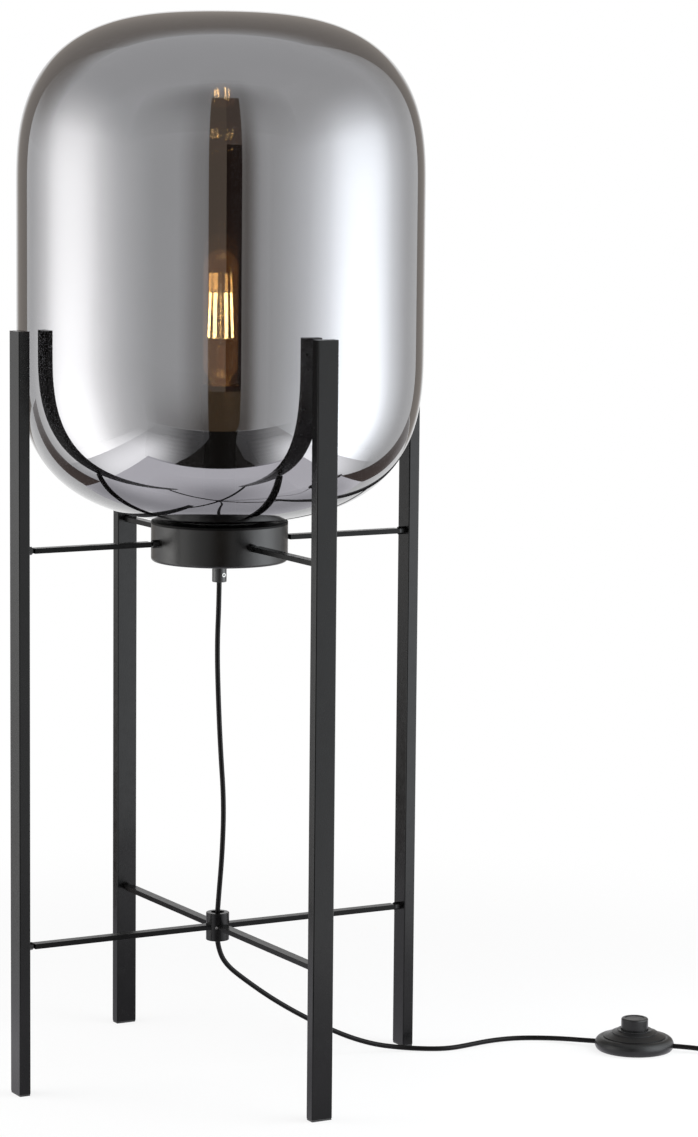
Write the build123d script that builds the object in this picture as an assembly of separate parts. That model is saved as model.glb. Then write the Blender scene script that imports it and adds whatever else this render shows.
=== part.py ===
from build123d import *
import math
import os

# Floor lamp: a smoked glass capsule on a flat drum, carried by four flat legs and eight flat bars.
# The origin is on the floor under the drum's axis, +Z is up, and the legs stand on the X and Y axes.
# All sizes are in millimetres.

# Legs and their glides
LEG_SHADE_GAP = 7.2
LEG_THICKNESS = 8.8
LEG_WIDTH = 16.5
LEG_TOP_Z = 560.5
LEG_EDGE = 0.8
GLIDE_THICKNESS = 1.5
GLIDE_INSET = 0.4
LEG_ANGLES = {"front_left": 180, "front_right": 270, "back_right": 0, "back_left": 90}

# Flat bars with a threaded stud at each end, and their lock nuts
BAR_WIDTH = 7.7
BAR_HEIGHT = 3.8
BAR_EDGE = 0.3
STUD_RADIUS = 1.4
STUD_DEPTH = 5.0
STUD_PAST_NUT = 1.0
NUT_ACROSS_FLATS = 5.2
NUT_LENGTH = 4.8
BARE_STUD_AT_LEG = 1.2
BARE_STUD_AT_DRUM = 2.4
INNER_NUT_LENGTH = 3.2
THREAD_GAP = 0.05
HOLE_GAP = 0.1
SEAT_GAP = 0.05

# Drum under the shade
DRUM_RADIUS = 50.8
DRUM_BOTTOM_Z = 386.5
DRUM_HEIGHT = 30.0
DRUM_WALL = 1.5
DRUM_EDGE = 2.5
LID_THICKNESS = 2.0
LID_EDGE = 0.6
LID_SKIRT_DEPTH = 5.0
LID_SKIRT_WALL = 1.5
SLIP_GAP = 0.3
POST_SKIRT_GAP = 1.0
POST_RADIUS = 3.5
POST_COUNT = 4
LID_SCREW_RADIUS = 1.6
LID_SCREW_HEAD_RADIUS = 3.2
LID_SCREW_HEAD_HEIGHT = 1.6
LID_SCREW_LENGTH = 11.0
LID_SCREW_SLOT = 0.7

# Glass shade: a capsule whose two domes follow a superellipse, in two shells that meet at a level seam
SHADE_RADIUS = 150.0
SHADE_HEIGHT = 373.3
SHADE_WALL = 3.5
DOME_HEIGHT = 130.0
DOME_POWER = 2.8
DOME_POINTS = 10
MOUTH_RADIUS = 27.0
SEAT_GRIND = 0.8
GASKET_THICKNESS = 1.4
GASKET_WIDTH = 6.0
SHADE_REST_GAP = 0.1
SHADE_RING_GAP = 0.5
SHADE_RING_WALL = 2.0
SHADE_RING_HEIGHT = 6.5

# Threaded tube, column and lampholder
NIPPLE_RADIUS = 5.0
NIPPLE_BORE_RADIUS = 3.5
NIPPLE_BELOW_LID = 7.5
NIPPLE_INTO_HOLDER = 3.5
NIPPLE_NUT_ACROSS_FLATS = 14.0
NIPPLE_NUT_HEIGHT = 4.0
COLUMN_RADIUS = 12.0
COLUMN_WALL = 1.5
COLUMN_HEIGHT = 67.5
HOLDER_RADIUS = 14.5
HOLDER_WALL = 1.6
HOLDER_BASE_HEIGHT = 10.0
HOLDER_FLOOR = 4.0
HOLDER_SLEEVE_HEIGHT = 23.0
HOLDER_EDGE = 0.6
INSERT_FLOOR_LIFT = 1.0
INSERT_FLOOR = 2.5
INSERT_HEIGHT = 23.0
SOCKET_WALL = 0.6
SOCKET_BACKING_GAP = 0.2
SOCKET_FOOT_GAP = 0.5
SOCKET_HEIGHT = 21.0
CONTACT_LENGTH = 9.0
CONTACT_WIDTH = 4.0
CONTACT_THICKNESS = 0.5
CONTACT_RISE = 2.3

# Screw-in tube bulb
BULB_CAP_RADIUS = 6.9
BULB_CAP_GAP = 0.5
BULB_CAP_WALL = 0.5
BULB_CAP_HEIGHT = 14.0
BULB_FLARE_RADIUS = 8.0
BULB_FLARE_HEIGHT = 3.0
BULB_TIP_RADIUS = 2.2
BULB_TIP_HEIGHT = 2.0
BULB_INSULATOR_HEIGHT = 3.0
BULB_NECK_RADIUS = 7.6
BULB_NECK_STRAIGHT = 2.0
BULB_SHOULDER_HEIGHT = 13.0
BULB_RADIUS = 13.0
BULB_TUBE_HEIGHT = 73.0
BULB_GLASS = 0.9
STEM_FOOT_RADIUS = 6.4
STEM_RADIUS = 3.0
STEM_FOOT_HEIGHT = 1.0
STEM_TAPER_HEIGHT = 11.5
STEM_HEIGHT = 30.0
FILAMENT_COUNT = 6
FILAMENT_RADIUS = 0.9
FILAMENT_FOOT_LIFT = 35.7
FILAMENT_HEIGHT = 33.0
FILAMENT_FOOT_CIRCLE = 8.8
FILAMENT_TOP_CIRCLE = 7.6
FILAMENT_START_ANGLE = 30.0
SUPPORT_RADIUS = 0.35
SUPPORT_MAST_RADIUS = 0.6
SUPPORT_MAST_PAST = 6.0

# Cord grip under the drum and wiring in the drum
CORD_RADIUS = 1.9
GRIP_RADIUS = 5.4
GRIP_HEIGHT = 15.9
GRIP_STEM_RADIUS = 4.0
GRIP_STEM_HEIGHT = 6.0
GRIP_BORE_GAP = 0.3
GRIP_EDGE = 0.5
GRIP_NUT_ACROSS_FLATS = 12.0
GRIP_NUT_HEIGHT = 4.0
GRIP_SCREW_LIFT = 5.5
GRIP_SCREW_ANGLE = -80.0
SET_SCREW_RADIUS = 1.5
SET_SCREW_LENGTH = 3.5
SET_SCREW_PROUD = 0.3
SET_SCREW_SOCKET = 0.6
SMALL_SCREW_SLOT = 0.5
TERMINAL_LENGTH = 22.0
TERMINAL_DEPTH = 14.0
TERMINAL_HEIGHT = 11.0
TERMINAL_OFFSET = 24.0
TERMINAL_SCREW_RADIUS = 1.4
TERMINAL_SCREW_HEIGHT = 3.0
TERMINAL_PITCH = 11.0
TERMINAL_ROW = 7.0
WIRE_RADIUS = 0.9
WIRE_BEND = 3.0
WIRE_RISE = 3.6
WIRE_PAIR = 1.1
WIRE_INNER_ENTRY = 2.2
WIRE_OUTER_ENTRY = 8.0

# Sleeve where the lower bars cross and the cord passes
SLEEVE_RADIUS = 8.7
SLEEVE_BORE_RADIUS = 5.1
SLEEVE_HEIGHT = 21.0
SLEEVE_EDGE = 0.5
LOWER_BAR_Z = 110.0
SLEEVE_STUD_LENGTH = 3.2
SLEEVE_SCREW_RADIUS = 0.9
SLEEVE_SCREW_ANGLE = 238.0

# Foot switch on the cord
SWITCH_X = 313.4
SWITCH_Y = -95.3
SWITCH_ANGLE = -42.0
SWITCH_RADIUS = 30.5
SWITCH_FOOT_RADIUS = 28.9
SWITCH_WIDEST_Z = 4.2
SWITCH_RIM_Z = 0.8
SWITCH_WALL = 2.0
TERRACE_RADII = (24.0, 17.6, 13.4)
TERRACE_HEIGHTS = (10.3, 13.4, 15.4)
TERRACE_STEP = 0.7
SWITCH_CEILING_Z = 14.0
SWITCH_CORD_Z = 4.5
SWITCH_CORD_END = 22.0
SWITCH_PAD_THICKNESS = 0.8
SWITCH_PAD_OUTER = 25.0
SWITCH_PAD_INNER = 19.0
SWITCH_PLATE_THICKNESS = 1.6
SWITCH_PLATE_GAP = 0.4
SWITCH_BOSS_CIRCLE = 16.5
SWITCH_BOSS_RADIUS = 2.8
SWITCH_SCREW_RADIUS = 1.3
SWITCH_SCREW_HEAD_RADIUS = 2.3
SWITCH_SCREW_HEAD_HEIGHT = 1.2
SWITCH_SCREW_LENGTH = 7.0
BUTTON_RADIUS = 10.4
BUTTON_GAP = 0.4
BUTTON_TOP_Z = 25.0
BUTTON_EDGE = 1.4
BUTTON_ROOF = 2.2
BUTTON_WALL = 1.8
BUTTON_FLANGE_RADIUS = 12.0
BUTTON_FLANGE_THICKNESS = 1.5
BUTTON_DISH_RADIUS = 7.6
BUTTON_DISH_DEPTH = 0.4
MECHANISM_LENGTH = 16.0
MECHANISM_WIDTH = 14.0
MECHANISM_HEIGHT = 5.0
PLUNGER_RADIUS = 2.5
PLUNGER_HEIGHT = 7.0
SPRING_RADIUS = 5.0
SPRING_WIRE_RADIUS = 0.4
SPRING_TURNS = 5
SPRING_END_GAP = 0.1
SWITCH_CONTACT_LENGTH = 6.0
SWITCH_CONTACT_WIDTH = 5.0
SWITCH_CONTACT_THICKNESS = 0.8
SWITCH_CONTACT_X = 16.0

# Put-away cord coil, its tie and the plug
LEAD_LENGTH = 55.0
COIL_PITCH = 4.4
COIL_INNER_RADIUS = 15.6
COIL_INWARD_QUARTERS = 13
COIL_CLIMB_QUARTERS = 2
COIL_OUTWARD_QUARTERS = 14
COIL_CLIMB_DIP = 0.9
COIL_LOW_Z = 2.9
COIL_LEAD_IN = 5.0
COIL_TAIL = 16.0
COIL_SAMPLES = 900
TIE_WIDTH = 6.0
TIE_THICKNESS = 0.6
TIE_GAP = 0.35
TIE_CORNER = 1.6
RELIEF_LENGTH = 26.0
RELIEF_TAIL_RADIUS = 2.6
RELIEF_ROOT_RADIUS = 5.0
RELIEF_GROOVES = 4
RELIEF_GROOVE_WIDTH = 1.4
RELIEF_GROOVE_DEPTH = 0.6
PLUG_LENGTH = 26.0
PLUG_WIDTH = 35.0
PLUG_REAR_WIDTH = 17.0
PLUG_SHOULDER = 14.0
PLUG_EDGE = 2.0
PIN_RADIUS = 2.0
PIN_LENGTH = 19.0
PIN_SPACING = 18.6
PIN_TIP_EDGE = 1.2

# Cord route from the drum through the sleeve to the switch, chosen point by point
CORD_BEND_SHARE = 0.45
HANGING_POINTS = [
    (0.0, 0.0, 393.0),
    (0.0, 0.0, 360.0),
    (-1.3, 0.7, 322.0),
    (-0.3, 0.1, 282.0),
    (1.4, -0.7, 243.0),
    (3.8, -2.0, 204.0),
    (2.9, -1.5, 166.0),
    (0.7, -0.4, 134.0),
    (-0.7, 0.4, 110.0),
    (0.2, 0.0, 94.0),
]
FALLING_POINTS = [
    (6.0, -0.6, 80.0),
    (23.9, -2.6, 65.0),
    (47.7, -5.1, 47.5),
    (75.5, -8.1, 30.5),
    (103.4, -11.1, 16.0),
    (127.2, -13.7, 7.0),
    (148.5, -17.5, 2.7),
]
FLOOR_POINTS = [
    (168.5, -29.5, 2.0),
    (184.0, -35.0, 2.0),
    (202.0, -32.5, 2.0),
    (222.5, -28.5, 2.0),
    (244.0, -30.0, 2.0),
    (262.0, -38.5, 2.1),
    (275.5, -52.5, 3.0),
]
SWITCH_APPROACH = 39.0
LEAD_POINTS = [(12.0, 4.5), (31.0, 2.9)]

# Heights and radii that follow from the sizes above
LEG_INNER = SHADE_RADIUS + LEG_SHADE_GAP
LEG_RADIUS = LEG_INNER + LEG_THICKNESS / 2
UPPER_BAR_Z = DRUM_BOTTOM_Z + DRUM_HEIGHT / 2
LID_TOP_Z = DRUM_BOTTOM_Z + DRUM_HEIGHT
LID_UNDER_Z = LID_TOP_Z - LID_THICKNESS
DRUM_INNER = DRUM_RADIUS - DRUM_WALL
DRUM_FLOOR_Z = DRUM_BOTTOM_Z + DRUM_WALL
SKIRT_OUTER = DRUM_INNER - SLIP_GAP
SKIRT_INNER = SKIRT_OUTER - LID_SKIRT_WALL
POST_CIRCLE_RADIUS = SKIRT_INNER - POST_SKIRT_GAP - POST_RADIUS
SEAT_Z = LID_TOP_Z + GASKET_THICKNESS + SHADE_REST_GAP
SHADE_LOW_Z = SEAT_Z - SEAT_GRIND
SHADE_TOP_Z = SHADE_LOW_Z + SHADE_HEIGHT
SHADE_SEAM_Z = (SHADE_LOW_Z + SHADE_TOP_Z) / 2
SHADE_INNER = SHADE_RADIUS - SHADE_WALL
INNER_DOME_HEIGHT = DOME_HEIGHT - SHADE_WALL
COLUMN_TOP_Z = LID_TOP_Z + COLUMN_HEIGHT
HOLDER_JOIN_Z = COLUMN_TOP_Z + HOLDER_BASE_HEIGHT
HOLDER_TOP_Z = HOLDER_JOIN_Z + HOLDER_SLEEVE_HEIGHT
INSERT_LOW_Z = COLUMN_TOP_Z + HOLDER_FLOOR + INSERT_FLOOR_LIFT
SOCKET_LOW_Z = INSERT_LOW_Z + INSERT_FLOOR + SOCKET_FOOT_GAP
SOCKET_INNER = BULB_CAP_RADIUS + BULB_CAP_GAP
CONTACT_LOW_Z = INSERT_LOW_Z + INSERT_FLOOR
BULB_LOW_Z = CONTACT_LOW_Z + CONTACT_RISE + CONTACT_THICKNESS + SEAT_GAP
BULB_CAP_LOW_Z = BULB_LOW_Z + BULB_TIP_HEIGHT + BULB_INSULATOR_HEIGHT
BULB_GLASS_LOW_Z = BULB_CAP_LOW_Z + BULB_CAP_HEIGHT + BULB_FLARE_HEIGHT
FILAMENT_LOW_Z = BULB_GLASS_LOW_Z + FILAMENT_FOOT_LIFT
FILAMENT_TOP_Z = FILAMENT_LOW_Z + FILAMENT_HEIGHT
GRIP_LOW_Z = DRUM_BOTTOM_Z - GRIP_HEIGHT
SWITCH_PLATE_TOP = SWITCH_PAD_THICKNESS + SWITCH_PLATE_THICKNESS
SWITCH_HOLE_RADIUS = BUTTON_RADIUS + BUTTON_GAP
DOME_TOP_Z = TERRACE_HEIGHTS[2] + TERRACE_STEP
BUTTON_FLANGE_TOP = SWITCH_CEILING_Z - SLIP_GAP
MECHANISM_TOP_Z = SWITCH_PLATE_TOP + MECHANISM_HEIGHT
COIL_HIGH_Z = COIL_LOW_Z + COIL_PITCH
COIL_START_RADIUS = COIL_INNER_RADIUS + COIL_PITCH * COIL_INWARD_QUARTERS / 4
COIL_END_RADIUS = COIL_INNER_RADIUS + COIL_PITCH * COIL_OUTWARD_QUARTERS / 4

BOTTOM = (Align.CENTER, Align.CENTER, Align.MIN)
ROUTE_TURN = Rot(0, 0, SWITCH_ANGLE)
SWITCH_PLACE = Pos(SWITCH_X, SWITCH_Y, 0) * ROUTE_TURN


# Shape helpers
def disc(radius, low, high):
    """Solid cylinder on the Z axis."""
    return Pos(0, 0, low) * Cylinder(radius, high - low, align=BOTTOM)


def ring(outer, inner, low, high):
    """Tube on the Z axis."""
    return Pos(0, 0, low) * extrude(Circle(outer) - Circle(inner), high - low)


def turned(*points):
    """Solid of revolution about the Z axis from (radius, height) corners."""
    outline = Polyline(*[(radius, 0, height) for radius, height in points], close=True)
    return revolve(make_face(outline), Axis.Z)


def rod(radius, start, end):
    """Round bar between two points."""
    way = Vector(*end) - Vector(*start)
    return extrude(Plane(origin=start, z_dir=way) * Circle(radius), way.length)


def hex_nut(across_flats, bore_radius, low, high):
    """Hexagon nut on the Z axis."""
    face = RegularPolygon(across_flats / 2, 6, major_radius=False) - Circle(bore_radius)
    return Pos(0, 0, low) * extrude(face, high - low)


def along_x(shape):
    """Turn a shape made on +Z so that it lies on +X."""
    return Rot(0, 90, 0) * shape


def around(shape, count, start=0.0):
    """Copies of a shape evenly spaced about the Z axis."""
    return [Rot(0, 0, start + 360 / count * index) * shape for index in range(count)]


def set_screw(radius, surface):
    """Socket screw on +X whose end stands just proud of a surface this far out."""
    end = surface + SET_SCREW_PROUD
    body = disc(radius, end - SET_SCREW_LENGTH, end)
    socket = Pos(0, 0, end - radius) * extrude(RegularPolygon(radius * SET_SCREW_SOCKET, 6), radius)
    return along_x(body - socket)


def countersunk_screw(shank, head, head_height, length, slot):
    """Screw that hangs from its flat slotted head at height 0."""
    body = turned((0, 0), (head, 0), (shank, -head_height), (shank, -length), (0, -length))
    return body - Box(2.2 * head, slot, slot)


# Legs with blind threaded holes for the bars
def make_leg():
    height = LEG_TOP_Z - GLIDE_THICKNESS
    leg = Pos(LEG_RADIUS, 0, GLIDE_THICKNESS) * Box(LEG_THICKNESS, LEG_WIDTH, height, align=BOTTOM)
    leg = fillet(leg.edges().filter_by(Axis.Z), LEG_EDGE)
    for bar_z in (LOWER_BAR_Z, UPPER_BAR_Z):
        end = LEG_INNER + STUD_DEPTH + HOLE_GAP
        leg -= Pos(0, 0, bar_z) * along_x(disc(STUD_RADIUS + THREAD_GAP, LEG_INNER - 1, end))
    return leg


def make_glide():
    length = LEG_THICKNESS - 2 * GLIDE_INSET
    width = LEG_WIDTH - 2 * GLIDE_INSET
    return Pos(LEG_RADIUS, 0, 0) * Box(length, width, GLIDE_THICKNESS, align=BOTTOM)


# Bars: a flat middle between two round studs
def make_flat(start):
    end = LEG_INNER - NUT_LENGTH - BARE_STUD_AT_LEG
    length = end - start
    flat = Pos(start + length / 2, 0, 0) * Box(length, BAR_WIDTH, BAR_HEIGHT)
    return fillet(flat.edges().filter_by(Axis.X), BAR_EDGE)


def make_stud(start):
    return along_x(disc(STUD_RADIUS, start, LEG_INNER + STUD_DEPTH))


def make_upper_bar():
    flat = make_flat(DRUM_RADIUS + NUT_LENGTH + BARE_STUD_AT_DRUM)
    stud = make_stud(DRUM_INNER - SLIP_GAP - INNER_NUT_LENGTH - STUD_PAST_NUT)
    return Pos(0, 0, UPPER_BAR_Z) * (flat + stud)


def make_lower_bar():
    flat = make_flat(SLEEVE_BORE_RADIUS) - disc(SLEEVE_RADIUS + SEAT_GAP, -BAR_HEIGHT, BAR_HEIGHT)
    stud = make_stud(SLEEVE_RADIUS - SLEEVE_STUD_LENGTH)
    return Pos(0, 0, LOWER_BAR_Z) * (flat + stud)


def make_lock_nut(start, length, height):
    nut = hex_nut(NUT_ACROSS_FLATS, STUD_RADIUS + THREAD_GAP, start, start + length)
    return Pos(0, 0, height) * along_x(nut)


# Drum: a spun cup, a lid with a skirt, four posts and the screws in them
def make_drum_cup():
    rim_z = LID_UNDER_Z
    cup = disc(DRUM_RADIUS, DRUM_BOTTOM_Z, rim_z)
    cup = fillet(cup.edges().group_by(Axis.Z)[0], DRUM_EDGE)
    cup -= disc(DRUM_INNER, DRUM_FLOOR_Z, rim_z)
    cup -= disc(GRIP_STEM_RADIUS + HOLE_GAP, DRUM_BOTTOM_Z, DRUM_FLOOR_Z)
    hole = along_x(disc(STUD_RADIUS + HOLE_GAP, DRUM_INNER - 1, DRUM_RADIUS + 1))
    for copy in around(Pos(0, 0, UPPER_BAR_Z) * hole, 4):
        cup -= copy
    return cup


def lid_screw_place():
    return Pos(POST_CIRCLE_RADIUS, 0, LID_TOP_Z)


def make_drum_lid():
    lid = disc(DRUM_RADIUS, LID_UNDER_Z, LID_TOP_Z)
    lid = fillet(lid.edges().group_by(Axis.Z)[-1], LID_EDGE)
    lid += ring(SKIRT_OUTER, SKIRT_INNER, LID_UNDER_Z - LID_SKIRT_DEPTH, LID_UNDER_Z)
    lid -= disc(NIPPLE_RADIUS + HOLE_GAP, LID_UNDER_Z, LID_TOP_Z)
    head = LID_SCREW_HEAD_RADIUS + HOLE_GAP
    shank = LID_SCREW_RADIUS + HOLE_GAP
    low = -LID_THICKNESS
    sink = turned((0, 0), (head, 0), (shank, -LID_SCREW_HEAD_HEIGHT), (shank, low), (0, low))
    for copy in around(lid_screw_place() * sink, POST_COUNT, 180 / POST_COUNT):
        lid -= copy
    return lid


def make_lid_post():
    post = disc(POST_RADIUS, DRUM_FLOOR_Z, LID_UNDER_Z)
    depth = LID_SCREW_LENGTH - LID_THICKNESS + HOLE_GAP
    post -= disc(LID_SCREW_RADIUS + THREAD_GAP, LID_UNDER_Z - depth, LID_UNDER_Z)
    return Pos(POST_CIRCLE_RADIUS, 0, 0) * post


def make_lid_screw():
    screw = countersunk_screw(
        LID_SCREW_RADIUS, LID_SCREW_HEAD_RADIUS, LID_SCREW_HEAD_HEIGHT, LID_SCREW_LENGTH, LID_SCREW_SLOT
    )
    return lid_screw_place() * screw


# Shade outline: radius and rise of a dome at one place on its superellipse
def dome_point(radius, height, turn):
    across = radius * math.sin(turn) ** (2 / DOME_POWER)
    rise = height * (1 - math.cos(turn) ** (2 / DOME_POWER))
    return across, rise


def dome_turn(radius, across):
    return math.asin((across / radius) ** (DOME_POWER / 2))


def dome_rise(radius, height, across):
    return dome_point(radius, height, dome_turn(radius, across))[1]


def dome_curve(radius, height, pole_z, side, first_across):
    """Dome from its pole end out to the wall. Side is 1 where it opens upward and -1 downward."""
    first = dome_turn(radius, first_across)
    turns = [first + (math.pi / 2 - first) * index / (DOME_POINTS - 1) for index in range(DOME_POINTS)]
    points = []
    for turn in turns:
        across, rise = dome_point(radius, height, turn)
        points.append((across, 0, pole_z + side * rise))
    nearby = dome_rise(radius, height, first_across + 0.01) - dome_rise(radius, height, first_across)
    return Spline(*points, tangents=[(0.01, 0, side * nearby), (0, 0, side)])


def make_shade_bowl():
    """Lower half of the glass, from its ground mouth up to the seam."""
    seat_turn = math.acos((1 - SEAT_GRIND / DOME_HEIGHT) ** (DOME_POWER / 2))
    seat_radius = dome_point(SHADE_RADIUS, DOME_HEIGHT, seat_turn)[0]
    outer = dome_curve(SHADE_RADIUS, DOME_HEIGHT, SHADE_LOW_Z, 1, seat_radius)
    inner = dome_curve(SHADE_INNER, INNER_DOME_HEIGHT, SHADE_LOW_Z + SHADE_WALL, 1, MOUTH_RADIUS)
    edges = [
        outer,
        Line(outer @ 1, (SHADE_RADIUS, 0, SHADE_SEAM_Z)),
        Line((SHADE_RADIUS, 0, SHADE_SEAM_Z), (SHADE_INNER, 0, SHADE_SEAM_Z)),
        Line((SHADE_INNER, 0, SHADE_SEAM_Z), inner @ 1),
        inner,
        Line(inner @ 0, (MOUTH_RADIUS, 0, SEAT_Z)),
        Line((MOUTH_RADIUS, 0, SEAT_Z), outer @ 0),
    ]
    return revolve(make_face(Wire(edges)), Axis.Z)


def make_shade_crown():
    """Upper half of the glass, from the seam up."""
    outer = dome_curve(SHADE_RADIUS, DOME_HEIGHT, SHADE_TOP_Z, -1, 0)
    inner = dome_curve(SHADE_INNER, INNER_DOME_HEIGHT, SHADE_TOP_Z - SHADE_WALL, -1, 0)
    edges = [
        outer,
        Line(outer @ 1, (SHADE_RADIUS, 0, SHADE_SEAM_Z)),
        Line((SHADE_RADIUS, 0, SHADE_SEAM_Z), (SHADE_INNER, 0, SHADE_SEAM_Z)),
        Line((SHADE_INNER, 0, SHADE_SEAM_Z), inner @ 1),
        inner,
        Line(inner @ 0, outer @ 0),
    ]
    return revolve(make_face(Wire(edges)), Axis.Z)


# Column and lampholder on the threaded tube
def make_nipple_nuts():
    bore = NIPPLE_RADIUS + THREAD_GAP
    under = hex_nut(NIPPLE_NUT_ACROSS_FLATS, bore, LID_UNDER_Z - NIPPLE_NUT_HEIGHT, LID_UNDER_Z)
    over = hex_nut(NIPPLE_NUT_ACROSS_FLATS, bore, LID_TOP_Z, LID_TOP_Z + NIPPLE_NUT_HEIGHT)
    return [under, over]


def make_holder_base():
    base = disc(HOLDER_RADIUS, COLUMN_TOP_Z, HOLDER_JOIN_Z)
    base = fillet(base.edges().group_by(Axis.Z)[0], HOLDER_EDGE)
    base -= disc(HOLDER_RADIUS - HOLDER_WALL, COLUMN_TOP_Z + HOLDER_FLOOR, HOLDER_JOIN_Z)
    base -= disc(NIPPLE_RADIUS + THREAD_GAP, COLUMN_TOP_Z, COLUMN_TOP_Z + HOLDER_FLOOR)
    ledge = HOLDER_RADIUS - HOLDER_WALL
    base += ring(ledge, ledge - HOLDER_WALL, COLUMN_TOP_Z + HOLDER_FLOOR, INSERT_LOW_Z)
    return base


def make_holder_sleeve():
    sleeve = disc(HOLDER_RADIUS, HOLDER_JOIN_Z, HOLDER_TOP_Z)
    sleeve = fillet(sleeve.edges().group_by(Axis.Z)[-1], HOLDER_EDGE)
    return sleeve - disc(HOLDER_RADIUS - HOLDER_WALL, HOLDER_JOIN_Z, HOLDER_TOP_Z)


def make_holder_insert():
    outer = HOLDER_RADIUS - HOLDER_WALL - SLIP_GAP
    bore = SOCKET_INNER + SOCKET_WALL + SOCKET_BACKING_GAP
    insert = disc(outer, INSERT_LOW_Z, INSERT_LOW_Z + INSERT_HEIGHT)
    return insert - disc(bore, INSERT_LOW_Z + INSERT_FLOOR, INSERT_LOW_Z + INSERT_HEIGHT)


def make_centre_contact():
    """Bronze strip bent up to meet the bulb's tip."""
    half = CONTACT_LENGTH / 2
    quarter = CONTACT_LENGTH / 4
    low = CONTACT_LOW_Z
    high = low + CONTACT_RISE
    thick = CONTACT_THICKNESS
    under = [(-half, 0, low), (-quarter, 0, low), (-quarter / 2, 0, high), (quarter / 2, 0, high)]
    under += [(quarter, 0, low), (half, 0, low)]
    over = [(x, 0, z + thick) for x, y, z in reversed(under)]
    face = make_face(Polyline(*under, *over, close=True))
    return Pos(0, CONTACT_WIDTH / 2, 0) * extrude(face, CONTACT_WIDTH, dir=(0, -1, 0))


# Bulb: cap, insulator, tip, envelope, stem, filaments and their wire supports
def make_bulb_cap():
    cap = BULB_CAP_RADIUS
    wall = BULB_CAP_WALL
    low = BULB_CAP_LOW_Z
    shoulder = low + BULB_CAP_HEIGHT
    return turned(
        (cap - 1, low),
        (cap, low + 1),
        (cap, shoulder),
        (BULB_FLARE_RADIUS, BULB_GLASS_LOW_Z),
        (BULB_NECK_RADIUS - BULB_GLASS, BULB_GLASS_LOW_Z),
        (cap - wall, shoulder),
        (cap - wall, low + 1 + wall),
        (cap - 1 - wall, low + wall),
        (cap - 1 - wall, low),
    )


def make_bulb_insulator():
    low = BULB_LOW_Z + BULB_TIP_HEIGHT
    high = BULB_CAP_LOW_Z
    return turned((0, low), (BULB_TIP_RADIUS + 1, low), (BULB_CAP_RADIUS - 1, high), (0, high))


def make_bulb_tip():
    low = BULB_LOW_Z
    high = low + BULB_TIP_HEIGHT
    tip = BULB_TIP_RADIUS
    return turned((0, low), (tip / 2, low), (tip, low + BULB_TIP_HEIGHT / 2), (tip, high), (0, high))


def envelope_side(inset):
    """One side of the bulb's envelope, from its neck to its crown."""
    neck = BULB_NECK_RADIUS - inset
    tube = BULB_RADIUS - inset
    neck_z = BULB_GLASS_LOW_Z + BULB_NECK_STRAIGHT
    tube_z = neck_z + BULB_SHOULDER_HEIGHT
    crown_z = tube_z + BULB_TUBE_HEIGHT
    middle = ((neck + tube) / 2, 0, (neck_z + tube_z) / 2)
    straight = Line((neck, 0, BULB_GLASS_LOW_Z), (neck, 0, neck_z))
    hollow = TangentArc((neck, 0, neck_z), middle, tangent=(0, 0, 1))
    swell = TangentArc(middle, (tube, 0, tube_z), tangent=hollow % 1)
    side = Line((tube, 0, tube_z), (tube, 0, crown_z))
    crown = TangentArc((tube, 0, crown_z), (0, 0, crown_z + tube), tangent=(0, 0, 1))
    return [straight, hollow, swell, side, crown]


def make_bulb_envelope():
    outside = envelope_side(0)
    inside = envelope_side(BULB_GLASS)
    rim = Line(outside[0] @ 0, inside[0] @ 0)
    top = Line(outside[-1] @ 1, inside[-1] @ 1)
    return revolve(make_face(Wire(outside + inside + [rim, top])), Axis.Z)


def make_bulb_stem():
    low = BULB_GLASS_LOW_Z
    foot = low + STEM_FOOT_HEIGHT
    top = low + STEM_HEIGHT
    return turned(
        (0, low),
        (STEM_FOOT_RADIUS, low),
        (STEM_FOOT_RADIUS, foot),
        (STEM_RADIUS, foot + STEM_TAPER_HEIGHT),
        (STEM_RADIUS, top - 1),
        (STEM_RADIUS - 1, top),
        (0, top),
    )


def make_filament():
    foot = (FILAMENT_FOOT_CIRCLE, 0, FILAMENT_LOW_Z)
    return rod(FILAMENT_RADIUS, foot, (FILAMENT_TOP_CIRCLE, 0, FILAMENT_TOP_Z))


def make_bulb_supports():
    """Mast on the stem with a spoke to both ends of every filament."""
    mast_top = FILAMENT_TOP_Z + SUPPORT_MAST_PAST
    supports = disc(SUPPORT_MAST_RADIUS, BULB_GLASS_LOW_Z + STEM_HEIGHT, mast_top)
    clear = SUPPORT_RADIUS + FILAMENT_RADIUS / 8 + SEAT_GAP
    low = FILAMENT_LOW_Z - clear
    high = FILAMENT_TOP_Z + clear
    low_spoke = rod(SUPPORT_RADIUS, (0, 0, low), (FILAMENT_FOOT_CIRCLE, 0, low))
    high_spoke = rod(SUPPORT_RADIUS, (0, 0, high), (FILAMENT_TOP_CIRCLE, 0, high))
    for spoke in (low_spoke, high_spoke):
        for copy in around(spoke, FILAMENT_COUNT, FILAMENT_START_ANGLE):
            supports += copy
    return supports


# Cord grip, terminal block and wiring
def make_cord_grip():
    stem_top = DRUM_BOTTOM_Z + GRIP_STEM_HEIGHT
    grip = disc(GRIP_RADIUS, GRIP_LOW_Z, DRUM_BOTTOM_Z)
    grip = fillet(grip.edges().group_by(Axis.Z)[0], GRIP_EDGE)
    grip += disc(GRIP_STEM_RADIUS, DRUM_BOTTOM_Z, stem_top)
    grip -= disc(CORD_RADIUS + GRIP_BORE_GAP, GRIP_LOW_Z, stem_top)
    hole = along_x(disc(SET_SCREW_RADIUS + THREAD_GAP, 0, GRIP_RADIUS + 1))
    return grip - grip_screw_place() * hole


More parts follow.
